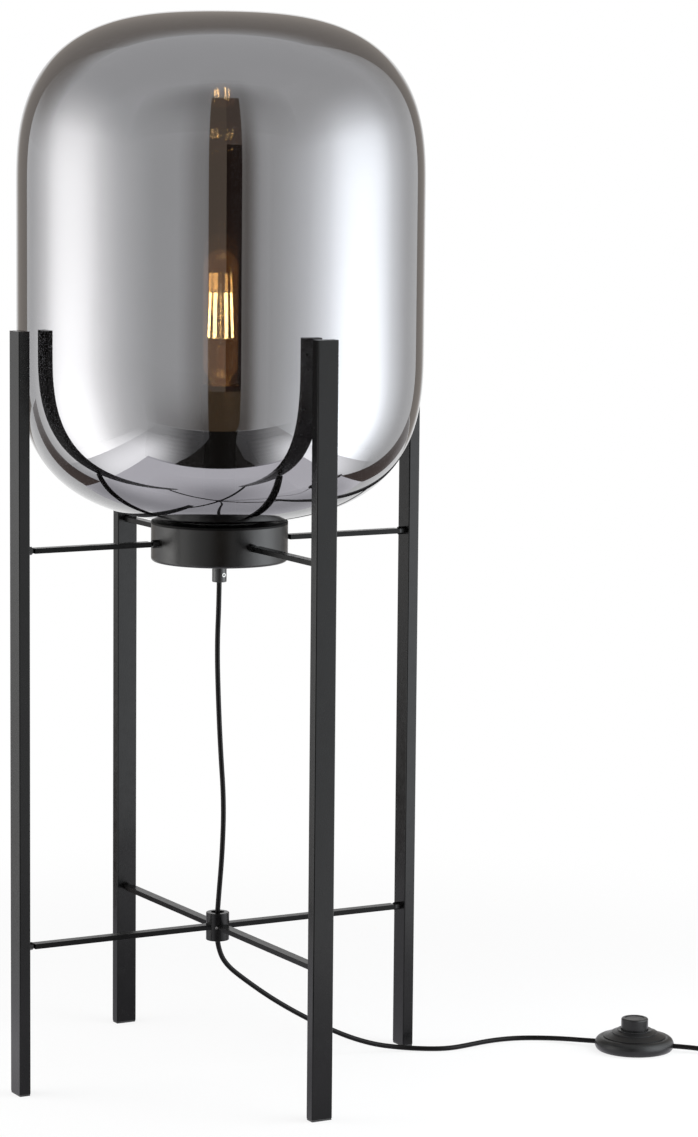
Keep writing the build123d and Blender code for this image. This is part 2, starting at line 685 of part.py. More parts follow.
def grip_screw_place():
    return Pos(0, 0, GRIP_LOW_Z + GRIP_SCREW_LIFT) * Rot(0, 0, GRIP_SCREW_ANGLE)


def make_grip_nut():
    bore = GRIP_STEM_RADIUS + THREAD_GAP
    return hex_nut(GRIP_NUT_ACROSS_FLATS, bore, DRUM_FLOOR_Z, DRUM_FLOOR_Z + GRIP_NUT_HEIGHT)


def terminal_places():
    places = []
    for side in (-1, 1):
        for row in (-1, 1):
            x = side * TERMINAL_PITCH / 2
            y = TERMINAL_OFFSET + row * TERMINAL_ROW / 2
            places.append(Pos(x, y, DRUM_FLOOR_Z + TERMINAL_HEIGHT))
    return places


def make_terminal_block():
    place = Pos(0, TERMINAL_OFFSET, DRUM_FLOOR_Z)
    block = place * Box(TERMINAL_LENGTH, TERMINAL_DEPTH, TERMINAL_HEIGHT, align=BOTTOM)
    block = fillet(block.edges().filter_by(Axis.Z), 1)
    for spot in terminal_places():
        block -= spot * disc(TERMINAL_SCREW_RADIUS + HOLE_GAP, -TERMINAL_SCREW_HEIGHT, 0)
    return block


def make_terminal_screws():
    screw = disc(TERMINAL_SCREW_RADIUS, -TERMINAL_SCREW_HEIGHT, 0)
    screw -= Box(3 * TERMINAL_SCREW_RADIUS, SMALL_SCREW_SLOT, SMALL_SCREW_SLOT)
    return [spot * screw for spot in terminal_places()]


def wire_along(points):
    path = FilletPolyline(*points, radius=WIRE_BEND)
    return sweep(Plane(origin=path @ 0, z_dir=path % 0) * Circle(WIRE_RADIUS), path=path)


def make_lead_wires():
    """Two wires from the cord's end to the terminal block, and two on to the lampholder."""
    face_y = TERMINAL_OFFSET - TERMINAL_DEPTH / 2
    cord_end = HANGING_POINTS[0][2] + SEAT_GAP
    level = cord_end + WIRE_RISE
    nipple_low = LID_UNDER_Z - NIPPLE_BELOW_LID
    wires = []
    for side in (-1, 1):
        pair = side * WIRE_PAIR
        outer = side * WIRE_OUTER_ENTRY
        inner = side * WIRE_INNER_ENTRY
        supply = [(pair, 0, cord_end), (pair, 0, level), (outer, face_y / 2, level), (outer, face_y, level)]
        feed = [(inner, face_y, level), (inner, face_y / 2, level)]
        feed += [(pair, 0, nipple_low - WIRE_RADIUS), (pair, 0, INSERT_LOW_Z - SEAT_GAP)]
        wires.append(wire_along(supply))
        wires.append(wire_along(feed))
    return wires


# Sleeve at the crossing of the lower bars
def make_cord_sleeve():
    low = LOWER_BAR_Z - SLEEVE_HEIGHT / 2
    high = LOWER_BAR_Z + SLEEVE_HEIGHT / 2
    sleeve = disc(SLEEVE_RADIUS, low, high)
    sleeve = fillet(sleeve.edges().filter_by(GeomType.CIRCLE), SLEEVE_EDGE)
    sleeve -= disc(SLEEVE_BORE_RADIUS, low, high)
    hole = along_x(disc(STUD_RADIUS + THREAD_GAP, 0, SLEEVE_RADIUS + 1))
    for copy in around(Pos(0, 0, LOWER_BAR_Z) * hole, 4):
        sleeve -= copy
    screw_hole = along_x(disc(SLEEVE_SCREW_RADIUS + THREAD_GAP, 0, SLEEVE_RADIUS + 1))
    return sleeve - sleeve_screw_place() * screw_hole


def sleeve_screw_place():
    return Pos(0, 0, LOWER_BAR_Z) * Rot(0, 0, SLEEVE_SCREW_ANGLE)


def make_set_screws():
    grip_screw = set_screw(SET_SCREW_RADIUS, GRIP_RADIUS)
    sleeve_screw = set_screw(SLEEVE_SCREW_RADIUS, SLEEVE_RADIUS)
    return [grip_screw_place() * grip_screw, sleeve_screw_place() * sleeve_screw]


# Foot switch, made about its own axis with the cord along X
def make_switch_housing():
    first, second, third = TERRACE_RADII
    first_z, second_z, third_z = TERRACE_HEIGHTS
    foot = (SWITCH_FOOT_RADIUS, 0, SWITCH_RIM_Z)
    skirt = ThreePointArc(foot, (SWITCH_RADIUS, 0, SWITCH_WIDEST_Z), (first, 0, first_z))
    inner_foot = SWITCH_FOOT_RADIUS - SWITCH_WALL / 2
    upper = [
        skirt @ 1,
        (first, 0, first_z + TERRACE_STEP),
        (second, 0, second_z),
        (second, 0, second_z + TERRACE_STEP),
        (third, 0, third_z),
        (third, 0, DOME_TOP_Z),
        (SWITCH_HOLE_RADIUS, 0, DOME_TOP_Z),
        (SWITCH_HOLE_RADIUS, 0, SWITCH_CEILING_Z),
        (third, 0, SWITCH_CEILING_Z),
        (second, 0, second_z - SWITCH_WALL),
        (first, 0, first_z - SWITCH_WALL),
        (inner_foot, 0, SWITCH_WIDEST_Z),
        (inner_foot, 0, SWITCH_RIM_Z),
        foot,
    ]
    housing = revolve(make_face(Wire([skirt] + Polyline(*upper).edges())), Axis.Z)
    for place in boss_places():
        housing += place * disc(SWITCH_BOSS_RADIUS, SWITCH_PLATE_TOP, second_z - SWITCH_WALL)
    hole = disc(SWITCH_SCREW_RADIUS + THREAD_GAP, 0, SWITCH_PAD_THICKNESS + SWITCH_SCREW_LENGTH + HOLE_GAP)
    for place in boss_places():
        housing -= place * hole
    opening = disc(CORD_RADIUS + GRIP_BORE_GAP, SWITCH_CORD_END, SWITCH_RADIUS + 1)
    for copy in around(Pos(0, 0, SWITCH_CORD_Z) * along_x(opening), 2):
        housing -= copy
    return housing


def boss_places():
    return [Pos(0, side * SWITCH_BOSS_CIRCLE, 0) for side in (-1, 1)]


def plate_screw_sink(gap):
    """Countersunk screw standing on its head, with a gap all round."""
    head = SWITCH_SCREW_HEAD_RADIUS + gap
    shank = SWITCH_SCREW_RADIUS + gap
    low = SWITCH_PAD_THICKNESS
    top = low + SWITCH_SCREW_LENGTH + gap
    return turned((0, low), (head, low), (shank, low + SWITCH_SCREW_HEAD_HEIGHT), (shank, top), (0, top))


def make_switch_plate():
    radius = SWITCH_FOOT_RADIUS - SWITCH_WALL / 2 - SWITCH_PLATE_GAP
    plate = disc(radius, SWITCH_PAD_THICKNESS, SWITCH_PLATE_TOP)
    for place in boss_places():
        plate -= place * plate_screw_sink(HOLE_GAP)
    return plate


def make_switch_pad():
    return ring(SWITCH_PAD_OUTER, SWITCH_PAD_INNER, 0, SWITCH_PAD_THICKNESS)


def make_switch_screws():
    slot = Box(3 * SWITCH_SCREW_HEAD_RADIUS, SMALL_SCREW_SLOT, SMALL_SCREW_SLOT)
    slot = Pos(0, 0, SWITCH_PAD_THICKNESS) * slot
    return [place * (plate_screw_sink(0) - slot) for place in boss_places()]


def make_switch_button():
    flange_low = BUTTON_FLANGE_TOP - BUTTON_FLANGE_THICKNESS
    button = disc(BUTTON_RADIUS, flange_low, BUTTON_TOP_Z)
    button = fillet(button.edges().group_by(Axis.Z)[-1], BUTTON_EDGE)
    button += disc(BUTTON_FLANGE_RADIUS, flange_low, BUTTON_FLANGE_TOP)
    button -= disc(BUTTON_RADIUS - BUTTON_WALL, flange_low, BUTTON_TOP_Z - BUTTON_ROOF)
    return button - disc(BUTTON_DISH_RADIUS, BUTTON_TOP_Z - BUTTON_DISH_DEPTH, BUTTON_TOP_Z)


def make_switch_mechanism():
    place = Pos(0, 0, SWITCH_PLATE_TOP)
    block = place * Box(MECHANISM_LENGTH, MECHANISM_WIDTH, MECHANISM_HEIGHT, align=BOTTOM)
    return block + disc(PLUNGER_RADIUS, MECHANISM_TOP_Z, MECHANISM_TOP_Z + PLUNGER_HEIGHT)


def make_switch_spring():
    """Wound spring that stands on the mechanism and lifts the button."""
    room = BUTTON_TOP_Z - BUTTON_ROOF - MECHANISM_TOP_Z
    height = room - 2 * (SPRING_WIRE_RADIUS + SPRING_END_GAP)
    helix = Helix(height / SPRING_TURNS, height, SPRING_RADIUS)
    section = Plane(origin=helix @ 0, z_dir=helix % 0) * Circle(SPRING_WIRE_RADIUS)
    wire = sweep(section, path=helix, is_frenet=True)
    return Pos(0, 0, MECHANISM_TOP_Z + SPRING_WIRE_RADIUS + SPRING_END_GAP) * wire


def make_switch_contacts():
    strip = Box(SWITCH_CONTACT_LENGTH, SWITCH_CONTACT_WIDTH, SWITCH_CONTACT_THICKNESS, align=BOTTOM)
    return around(Pos(SWITCH_CONTACT_X, 0, SWITCH_PLATE_TOP) * strip, 2)


# Cord tubes: straight runs joined by arcs as large as the runs allow
def cord_radii(points):
    radii = []
    for before, corner, after in zip(points, points[1:], points[2:]):
        turn = (corner - before).get_angle(after - corner)
        shorter = min((corner - before).length, (after - corner).length)
        radii.append(CORD_BEND_SHARE * shorter / math.tan(math.radians(turn / 2)))
    return radii


def cord_tube(name, route):
    points = [Vector(*point) for point in route]
    radii = cord_radii(points)
    path = FilletPolyline(*points, radius=radii)
    tube = sweep(Plane(origin=path @ 0, z_dir=path % 0) * Circle(CORD_RADIUS), path=path)
    expected = math.pi * CORD_RADIUS**2 * path.length
    print(name, "length", round(path.length, 1), "volume share", round(tube.volume / expected, 4))
    print(name, "bend radii", [round(radius, 1) for radius in radii])
    return tube


def on_switch_line(distance, height):
    """Point on the line through the switch, this far along it from the switch's middle."""
    turn = math.radians(SWITCH_ANGLE)
    return (SWITCH_X + distance * math.cos(turn), SWITCH_Y + distance * math.sin(turn), height)


def make_cord_run():
    approach = on_switch_line(-SWITCH_APPROACH, SWITCH_CORD_Z)
    end = on_switch_line(-SWITCH_CORD_END, SWITCH_CORD_Z)
    return cord_tube("cord_run", HANGING_POINTS + FALLING_POINTS + FLOOR_POINTS + [approach, end])


def make_cord_lead():
    route = [on_switch_line(SWITCH_CORD_END + 2.0, SWITCH_CORD_Z)]
    route += [on_switch_line(SWITCH_RADIUS + distance, height) for distance, height in LEAD_POINTS]
    route.append(on_switch_line(SWITCH_RADIUS + LEAD_LENGTH - COIL_LEAD_IN, COIL_LOW_Z))
    return cord_tube("cord_lead", route)


# Coil: a flat spiral in, half a turn of climb, and a flat spiral out on top of it
def coil_station(step):
    """Radius and height of the coil's line after this many quarter turns."""
    inward = COIL_INWARD_QUARTERS
    if step <= inward:
        return COIL_INNER_RADIUS + COIL_PITCH * (inward - step) / 4, COIL_LOW_Z
    climb = (step - inward) / COIL_CLIMB_QUARTERS
    if climb >= 1:
        outward = step - inward - COIL_CLIMB_QUARTERS
        return COIL_INNER_RADIUS + COIL_PITCH * outward / 4, COIL_HIGH_Z
    dip = COIL_CLIMB_DIP * math.sin(math.pi * climb)
    rise = COIL_PITCH * (1 - math.cos(math.pi * climb)) / 2
    return COIL_INNER_RADIUS - dip, COIL_LOW_Z + rise


def coil_point(step):
    radius, height = coil_station(step)
    turn = math.radians(90 * (step - 1))
    return Vector(radius * math.cos(turn), radius * math.sin(turn), height)


def coil_way(step, last):
    """Direction of the coil's line: square to its radius at both ends."""
    if step in (0, last):
        turn = math.radians(90 * (step - 1))
        return Vector(-math.sin(turn), math.cos(turn), 0)
    return (coil_point(step + 0.25) - coil_point(step - 0.25)).normalized()


def biarc(start, start_way, end, end_way):
    chord = end - start
    ways = start_way + end_way
    spare = 2 * (1 - start_way.dot(end_way))
    along = chord.dot(ways)
    reach = (math.sqrt(along**2 + spare * chord.dot(chord)) - along) / spare
    middle = (start + start_way * reach + end - end_way * reach) * 0.5
    first = TangentArc(start, middle, tangent=start_way)
    return [first, TangentArc(middle, end, tangent=first % 1)]


def least_gap(path):
    """Least clear distance of the coil's tube to itself, half a turn or more apart."""
    points = [tuple(path @ (index / COIL_SAMPLES)) for index in range(COIL_SAMPLES + 1)]
    apart = math.ceil(math.pi * COIL_INNER_RADIUS / path.length * COIL_SAMPLES)
    nearest = min(
        math.dist(points[index], points[other])
        for index in range(COIL_SAMPLES + 1)
        for other in range(index + apart, COIL_SAMPLES + 1)
    )
    return nearest - 2 * CORD_RADIUS


def coil_place():
    start_x, start_y, start_z = on_switch_line(SWITCH_RADIUS + LEAD_LENGTH, 0)
    return Pos(start_x, start_y, 0) * ROUTE_TURN * Pos(0, COIL_START_RADIUS, 0)


def make_cord_coil():
    last = COIL_INWARD_QUARTERS + COIL_CLIMB_QUARTERS + COIL_OUTWARD_QUARTERS
    start = coil_point(0)
    end = coil_point(last)
    edges = [Line(start - coil_way(0, last) * COIL_LEAD_IN, start)]
    for step in range(last):
        edges += biarc(coil_point(step), coil_way(step, last), coil_point(step + 1), coil_way(step + 1, last))
    edges.append(Line(end, end + coil_way(last, last) * COIL_TAIL))
    path = Wire(edges)
    tube = sweep(Plane(origin=path @ 0, z_dir=path % 0) * Circle(CORD_RADIUS), path=path)
    expected = math.pi * CORD_RADIUS**2 * path.length
    print("cord_coil length", round(path.length, 1), "volume share", round(tube.volume / expected, 4))
    print("cord_coil least gap", round(least_gap(path), 2))
    return coil_place() * tube


def make_cord_tie():
    """Flat strap round all the turns on the far side of the coil."""
    clear = CORD_RADIUS + TIE_GAP
    inner_low = COIL_LOW_Z - clear
    inner_high = COIL_HIGH_Z + clear
    inner_near = COIL_INNER_RADIUS - COIL_CLIMB_DIP - clear - TIE_THICKNESS / 2
    inner_far = max(COIL_START_RADIUS, COIL_END_RADIUS) + clear
    width = inner_far - inner_near
    height = inner_high - inner_low
    outside = RectangleRounded(width + 2 * TIE_THICKNESS, height + 2 * TIE_THICKNESS, TIE_CORNER)
    face = outside - RectangleRounded(width, height, TIE_CORNER - TIE_THICKNESS)
    middle = (0, (inner_near + inner_far) / 2, (inner_low + inner_high) / 2)
    strap = extrude(Plane(origin=middle, x_dir=(0, 1, 0), z_dir=(1, 0, 0)) * face, TIE_WIDTH / 2, both=True)
    return coil_place() * strap


# Plug, made along +Y from the end of the coil's tail
def plug_place():
    return coil_place() * Pos(COIL_END_RADIUS, COIL_TAIL, COIL_HIGH_Z)


def along_y(shape):
    """Turn a shape made on +Z so that it lies on +Y."""
    return Rot(-90, 0, 0) * shape


def make_plug_relief():
    relief = turned((0, 0), (RELIEF_TAIL_RADIUS, 0), (RELIEF_ROOT_RADIUS, RELIEF_LENGTH), (0, RELIEF_LENGTH))
    spacing = RELIEF_LENGTH / (RELIEF_GROOVES + 1)
    for index in range(1, RELIEF_GROOVES + 1):
        middle = spacing * index
        slope = (RELIEF_ROOT_RADIUS - RELIEF_TAIL_RADIUS) / RELIEF_LENGTH
        floor = RELIEF_TAIL_RADIUS + slope * middle - RELIEF_GROOVE_DEPTH
        low = middle - RELIEF_GROOVE_WIDTH / 2
        relief -= ring(RELIEF_ROOT_RADIUS + 1, floor, low, low + RELIEF_GROOVE_WIDTH)
    return plug_place() * along_y(relief)


def make_plug_body():
    half = PLUG_WIDTH / 2
    rear = PLUG_REAR_WIDTH / 2
    corners = [(-rear, 0), (rear, 0), (half, PLUG_SHOULDER), (half, PLUG_LENGTH)]
    corners += [(-half, PLUG_LENGTH), (-half, PLUG_SHOULDER)]
    body = extrude(make_face(Polyline(*corners, close=True)), COIL_HIGH_Z, both=True)
    body = fillet(body.edges().filter_by(Axis.Z), PLUG_EDGE)
    body = fillet(body.edges().group_by(Axis.Z)[-1], PLUG_EDGE)
    return plug_place() * Pos(0, RELIEF_LENGTH, 0) * body


def make_plug_pins():
    pin = disc(PIN_RADIUS, RELIEF_LENGTH + PLUG_LENGTH, RELIEF_LENGTH + PLUG_LENGTH + PIN_LENGTH)
    pin = fillet(pin.edges().group_by(Axis.Z)[-1], PIN_TIP_EDGE)
    return [plug_place() * Pos(side * PIN_SPACING / 2, 0, 0) * along_y(pin) for side in (-1, 1)]


# All nodes by name. A list of solids is a group of like pieces.
def frame_nodes():
    nodes = {}
    upper_bar = make_upper_bar()
    lower_bar = make_lower_bar()
    leg = make_leg()
    for place, angle in LEG_ANGLES.items():
        turn = Rot(0, 0, angle)
        nodes["leg_" + place] = turn * leg
        nodes["upper_bar_" + place] = turn * upper_bar
        nodes["lower_bar_" + place] = turn * lower_bar
    nodes["leg_glides"] = around(make_glide(), 4)
    leg_nut_start = LEG_INNER - NUT_LENGTH
    upper_nuts = around(make_lock_nut(leg_nut_start, NUT_LENGTH, UPPER_BAR_Z), 4)
    lower_nuts = around(make_lock_nut(leg_nut_start, NUT_LENGTH, LOWER_BAR_Z), 4)
    drum_nuts = around(make_lock_nut(DRUM_RADIUS, NUT_LENGTH, UPPER_BAR_Z), 4)
    nodes["lock_nuts"] = upper_nuts + lower_nuts + drum_nuts
    inner_start = DRUM_INNER - SLIP_GAP - INNER_NUT_LENGTH
    nodes["drum_inner_nuts"] = around(make_lock_nut(inner_start, INNER_NUT_LENGTH, UPPER_BAR_Z), 4)
    nodes["cord_sleeve"] = make_cord_sleeve()
    nodes["set_screws"] = make_set_screws()
    return nodes


def drum_nodes():
    first_post = 180 / POST_COUNT
    ring_outer = MOUTH_RADIUS - SHADE_RING_GAP
    ring_top = LID_TOP_Z + SHADE_RING_HEIGHT
    gasket_inner = MOUTH_RADIUS + SHADE_RING_GAP
    gasket_top = LID_TOP_Z + GASKET_THICKNESS
    return {
        "drum_cup": make_drum_cup(),
        "drum_lid": make_drum_lid(),
        "lid_posts": around(make_lid_post(), POST_COUNT, first_post),
        "lid_screws": around(make_lid_screw(), POST_COUNT, first_post),
        "shade_ring": ring(ring_outer, ring_outer - SHADE_RING_WALL, LID_TOP_Z, ring_top),
        "shade_gasket": ring(gasket_inner + GASKET_WIDTH, gasket_inner, LID_TOP_Z, gasket_top),
        "cord_grip": make_cord_grip(),
        "cord_grip_nut": make_grip_nut(),
        "terminal_block": make_terminal_block(),
        "terminal_screws": make_terminal_screws(),
        "lead_wires": make_lead_wires(),
    }


def lamp_nodes():
    nipple_low = LID_UNDER_Z - NIPPLE_BELOW_LID
    nipple_top = COLUMN_TOP_Z + NIPPLE_INTO_HOLDER
    socket_outer = SOCKET_INNER + SOCKET_WALL
    return {
        "nipple_tube": ring(NIPPLE_RADIUS, NIPPLE_BORE_RADIUS, nipple_low, nipple_top),
        "nipple_nuts": make_nipple_nuts(),
        "lamp_column": ring(COLUMN_RADIUS, COLUMN_RADIUS - COLUMN_WALL, LID_TOP_Z, COLUMN_TOP_Z),
        "holder_base": make_holder_base(),
        "holder_sleeve": make_holder_sleeve(),
        "holder_insert": make_holder_insert(),
        "holder_screw_shell": ring(socket_outer, SOCKET_INNER, SOCKET_LOW_Z, SOCKET_LOW_Z + SOCKET_HEIGHT),
        "holder_centre_contact": make_centre_contact(),
        "glass_shade_bowl": make_shade_bowl(),
        "glass_shade_crown": make_shade_crown(),
        "bulb_envelope": make_bulb_envelope(),
        "bulb_cap": make_bulb_cap(),
        "bulb_insulator": make_bulb_insulator(),
        "bulb_tip": make_bulb_tip(),
        "bulb_stem": make_bulb_stem(),
        "bulb_filaments": around(make_filament(), FILAMENT_COUNT, FILAMENT_START_ANGLE),
        "bulb_supports": make_bulb_supports(),
    }


def switch_nodes():
    made = {
        "switch_housing": make_switch_housing(),
        "switch_plate": make_switch_plate(),
        "switch_pad": make_switch_pad(),
        "switch_screws": make_switch_screws(),
        "switch_button": make_switch_button(),
        "switch_mechanism": make_switch_mechanism(),
        "switch_spring": make_switch_spring(),
        "switch_contacts": make_switch_contacts(),
    }
    nodes = {}
    for name, shape in made.items():
        if isinstance(shape, list):
            nodes[name] = [SWITCH_PLACE * copy for copy in shape]
        else:
            nodes[name] = SWITCH_PLACE * shape
    return nodes


def cord_nodes():
    return {
        "cord_run": make_cord_run(),
        "cord_lead": make_cord_lead(),
        "cord_coil": make_cord_coil(),
        "cord_tie": make_cord_tie(),
        "plug_relief": make_plug_relief(),
        "plug_body": make_plug_body(),
        "plug_pins": make_plug_pins(),
    }


def solids_of(shape):
    if isinstance(shape, list):
        return [solid for copy in shape for solid in copy.solids()]
    return list(shape.solids())


os.makedirs("parts", exist_ok=True)
all_nodes = {**frame_nodes(), **drum_nodes(), **lamp_nodes(), **switch_nodes(), **cord_nodes()}
for node_name, node_shape in all_nodes.items():
    solids = solids_of(node_shape)
    export_step(solids[0] if len(solids) == 1 else Compound(solids), f"parts/{node_name}.step")
print(len(all_nodes), "nodes")
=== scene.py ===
import math

import bmesh
import bpy
from mathutils import Matrix, Vector


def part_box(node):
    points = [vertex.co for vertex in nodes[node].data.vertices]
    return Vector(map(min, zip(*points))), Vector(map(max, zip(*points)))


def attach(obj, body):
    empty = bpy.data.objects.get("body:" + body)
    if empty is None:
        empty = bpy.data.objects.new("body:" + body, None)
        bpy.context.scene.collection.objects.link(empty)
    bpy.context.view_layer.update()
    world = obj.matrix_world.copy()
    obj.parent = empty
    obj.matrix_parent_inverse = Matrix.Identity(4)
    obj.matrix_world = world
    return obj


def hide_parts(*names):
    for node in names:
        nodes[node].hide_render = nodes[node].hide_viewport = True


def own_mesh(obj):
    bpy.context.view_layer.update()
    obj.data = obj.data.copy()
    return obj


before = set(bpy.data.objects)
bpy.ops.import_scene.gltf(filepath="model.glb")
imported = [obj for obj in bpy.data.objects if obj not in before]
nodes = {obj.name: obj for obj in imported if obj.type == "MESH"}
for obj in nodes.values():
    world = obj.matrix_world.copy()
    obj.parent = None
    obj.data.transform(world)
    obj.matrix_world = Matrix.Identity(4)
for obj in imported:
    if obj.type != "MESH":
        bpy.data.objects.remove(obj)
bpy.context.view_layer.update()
scene = bpy.context.scene
scene.view_settings.view_transform = "Standard"

# Camera, as the photo was taken
CAMERA_PLACE = Vector((-1.2716, -2.4854, 0.7369))
CAMERA_AZIMUTH = math.radians(-29.0708)
CAMERA_DROP = math.radians(7.2615)
CAMERA_ROLL = math.radians(0.5387)
CAMERA_REACH = 60
SENSOR_WIDTH = 36.0
FOCAL_PIXELS = 3788.1554
PHOTO_HEIGHT = 1137

camera_data = bpy.data.cameras.new("camera")
camera_data.sensor_width = SENSOR_WIDTH
camera_data.lens = SENSOR_WIDTH * FOCAL_PIXELS / PHOTO_HEIGHT
camera_data.clip_end = CAMERA_REACH
camera = bpy.data.objects.new("camera", camera_data)
scene.collection.objects.link(camera)
back = Vector((
    math.sin(CAMERA_AZIMUTH) * math.cos(CAMERA_DROP),
    -math.cos(CAMERA_AZIMUTH) * math.cos(CAMERA_DROP),
    math.sin(CAMERA_DROP),
))
level = Vector((0, 0, 1)).cross(back).normalized()
upward = back.cross(level)
side = level * math.cos(CAMERA_ROLL) + upward * math.sin(CAMERA_ROLL)
upward = upward * math.cos(CAMERA_ROLL) - level * math.sin(CAMERA_ROLL)
turn = Matrix((side, upward, back)).transposed().to_4x4()
camera.matrix_world = Matrix.Translation(CAMERA_PLACE) @ turn
scene.camera = camera

# Cords: the route of the solids, as smooth splines
CORD_RADIUS = 0.0019
CORD_STEPS_A_POINT = 8
CORD_ROUNDNESS = 6
SWITCH_PLACE = Vector((0.3134, -0.0953, 0))
SWITCH_TURN = math.radians(-42)
SWITCH_WAY = Vector((math.cos(SWITCH_TURN), math.sin(SWITCH_TURN), 0))
SWITCH_SIDE = Vector((-SWITCH_WAY.y, SWITCH_WAY.x, 0))
SWITCH_RADIUS = 0.0305
SWITCH_CORD_Z = 0.0045
LEAD_LENGTH = 0.055
COIL_PITCH = 0.0044
COIL_INNER_RADIUS = 0.0156
COIL_QUARTERS = (13, 2, 14)
COIL_CLIMB_DIP = 0.0009
COIL_LOW_Z = 0.0029
COIL_TAIL_START = 0.006
COIL_TAIL = 0.016
COIL_POINTS_A_TURN = 12


def on_switch_line(distance, height):
    return SWITCH_PLACE + SWITCH_WAY * distance + Vector((0, 0, height))


def make_cord(name, points):
    """Round cord on a spline. Each point's radius scales the bevel, which is 1."""
    curve = bpy.data.curves.new(name, "CURVE")
    curve.dimensions = "3D"
    spline = curve.splines.new("NURBS")
    spline.points.add(len(points) - 1)
    for place, point in zip(spline.points, points):
        place.co = (*point, 1)
        place.radius = CORD_RADIUS
    spline.order_u = 3
    spline.use_endpoint_u = True
    spline.resolution_u = CORD_STEPS_A_POINT
    curve.bevel_depth = 1.0
    curve.bevel_resolution = CORD_ROUNDNESS
    curve.use_fill_caps = True
    made = bpy.data.objects.new(name, curve)
    scene.collection.objects.link(made)
    return made


run_points = [
    (0.0, 0.0, 0.393),
    (0.0, 0.0, 0.360),
    (-0.0013, 0.0007, 0.322),
    (-0.0003, 0.0001, 0.282),
    (0.0014, -0.0007, 0.243),
    (0.0038, -0.0020, 0.204),
    (0.0029, -0.0015, 0.166),
    (0.0007, -0.0004, 0.134),
    (-0.0007, 0.0004, 0.110),
    (0.0002, 0.0, 0.094),
    (0.0060, -0.0006, 0.080),
    (0.0239, -0.0026, 0.065),
    (0.0477, -0.0051, 0.0475),
    (0.0755, -0.0081, 0.0305),
    (0.1034, -0.0111, 0.016),
    (0.1272, -0.0137, 0.007),
    (0.1485, -0.0175, 0.0027),
    (0.1685, -0.0295, 0.002),
    (0.1840, -0.0350, 0.002),
    (0.2020, -0.0325, 0.002),
    (0.2225, -0.0285, 0.002),
    (0.2440, -0.0300, 0.002),
    (0.2620, -0.0385, 0.0021),
    (0.2755, -0.0525, 0.003),
    on_switch_line(-0.039, SWITCH_CORD_Z),
    on_switch_line(-0.022, SWITCH_CORD_Z),
]


def coil_station(step):
    """Radius and height of the coil's line after this many quarter turns."""
    inward, climb = COIL_QUARTERS[:2]
    if step <= inward:
        return COIL_INNER_RADIUS + COIL_PITCH * (inward - step) / 4, COIL_LOW_Z
    if step >= inward + climb:
        return COIL_INNER_RADIUS + COIL_PITCH * (step - inward - climb) / 4, COIL_LOW_Z + COIL_PITCH
    share = (step - inward) / climb
    dip = COIL_CLIMB_DIP * math.sin(math.pi * share)
    rise = COIL_PITCH * (1 - math.cos(math.pi * share)) / 2
    return COIL_INNER_RADIUS - dip, COIL_LOW_Z + rise


coil_start = on_switch_line(SWITCH_RADIUS + LEAD_LENGTH, 0)
coil_middle = coil_start + SWITCH_SIDE * coil_station(0)[0]
coil_steps = sum(COIL_QUARTERS) * COIL_POINTS_A_TURN // 4
outside = 1 / math.cos(math.pi / COIL_POINTS_A_TURN)
coil_points = []
for index in range(coil_steps):
    step = (index + 0.5) * 4 / COIL_POINTS_A_TURN
    radius, height = coil_station(step)
    angle = math.radians(90 * (step - 1))
    spoke = SWITCH_WAY * math.cos(angle) + SWITCH_SIDE * math.sin(angle)
    coil_points.append(coil_middle + spoke * radius * outside + Vector((0, 0, height)))
coil_end_radius, coil_end_z = coil_station(sum(COIL_QUARTERS))
coil_end = coil_middle + SWITCH_WAY * coil_end_radius + Vector((0, 0, coil_end_z))
lead_points = [
    on_switch_line(0.024, SWITCH_CORD_Z),
    on_switch_line(0.0425, SWITCH_CORD_Z),
    on_switch_line(0.0615, COIL_LOW_Z),
    on_switch_line(0.0765, COIL_LOW_Z),
]
tail_points = [coil_end + SWITCH_SIDE * COIL_TAIL_START, coil_end + SWITCH_SIDE * COIL_TAIL]
cord_main = make_cord("main_cord", run_points)
cord_tail = make_cord("tail_cord", lead_points + coil_points + tail_points)
for cord, replaced in ((cord_main, ["cord_run"]), (cord_tail, ["cord_lead", "cord_coil"])):
    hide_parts(*replaced)
    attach(cord, "stand")

# Shader helpers
NOISE_LOW = 0.3
NOISE_HIGH = 0.7
COLOUR_DETAIL = 4.0
ROUGHNESS_DETAIL = 3.0
GRAIN_DETAIL = 2.0


def add_node(tree, kind, **settings):
    """New node. A setting is one of its inputs, or else a property of the node."""
    node = tree.nodes.new(kind)
    for key, value in settings.items():
        if key in node.inputs.keys():
            node.inputs[key].default_value = value
        else:
            setattr(node, key, value)
    return node


def join(tree, start, end):
    tree.links.new(start, end)


def combine(tree, operation, first, second):
    node = add_node(tree, "ShaderNodeMath", operation=operation)
    join(tree, first, node.inputs[0])
    join(tree, second, node.inputs[1])
    return node.outputs["Value"]


def mix_shaders(tree, share, first, second):
    node = add_node(tree, "ShaderNodeMixShader")
    join(tree, share, node.inputs["Fac"])
    join(tree, first, node.inputs[1])
    join(tree, second, node.inputs[2])
    return node.outputs["Shader"]


def map_range(tree, source, ends, results, **settings):
    """Source, taken from one pair of values to another."""
    node = add_node(tree, "ShaderNodeMapRange", **settings)
    for socket, value in zip(("From Min", "From Max", "To Min", "To Max"), (*ends, *results)):
        node.inputs[socket].default_value = value
    join(tree, source, node.inputs["Value"])
    return node.outputs["Result"]


def object_noise(tree, scale, detail):
    place = add_node(tree, "ShaderNodeTexCoord")
    noise = add_node(tree, "ShaderNodeTexNoise", Scale=scale, Detail=detail)
    join(tree, place.outputs["Object"], noise.inputs["Vector"])
    return noise.outputs["Fac"]


def main_shader(made):
    return made.node_tree.nodes["Principled BSDF"]


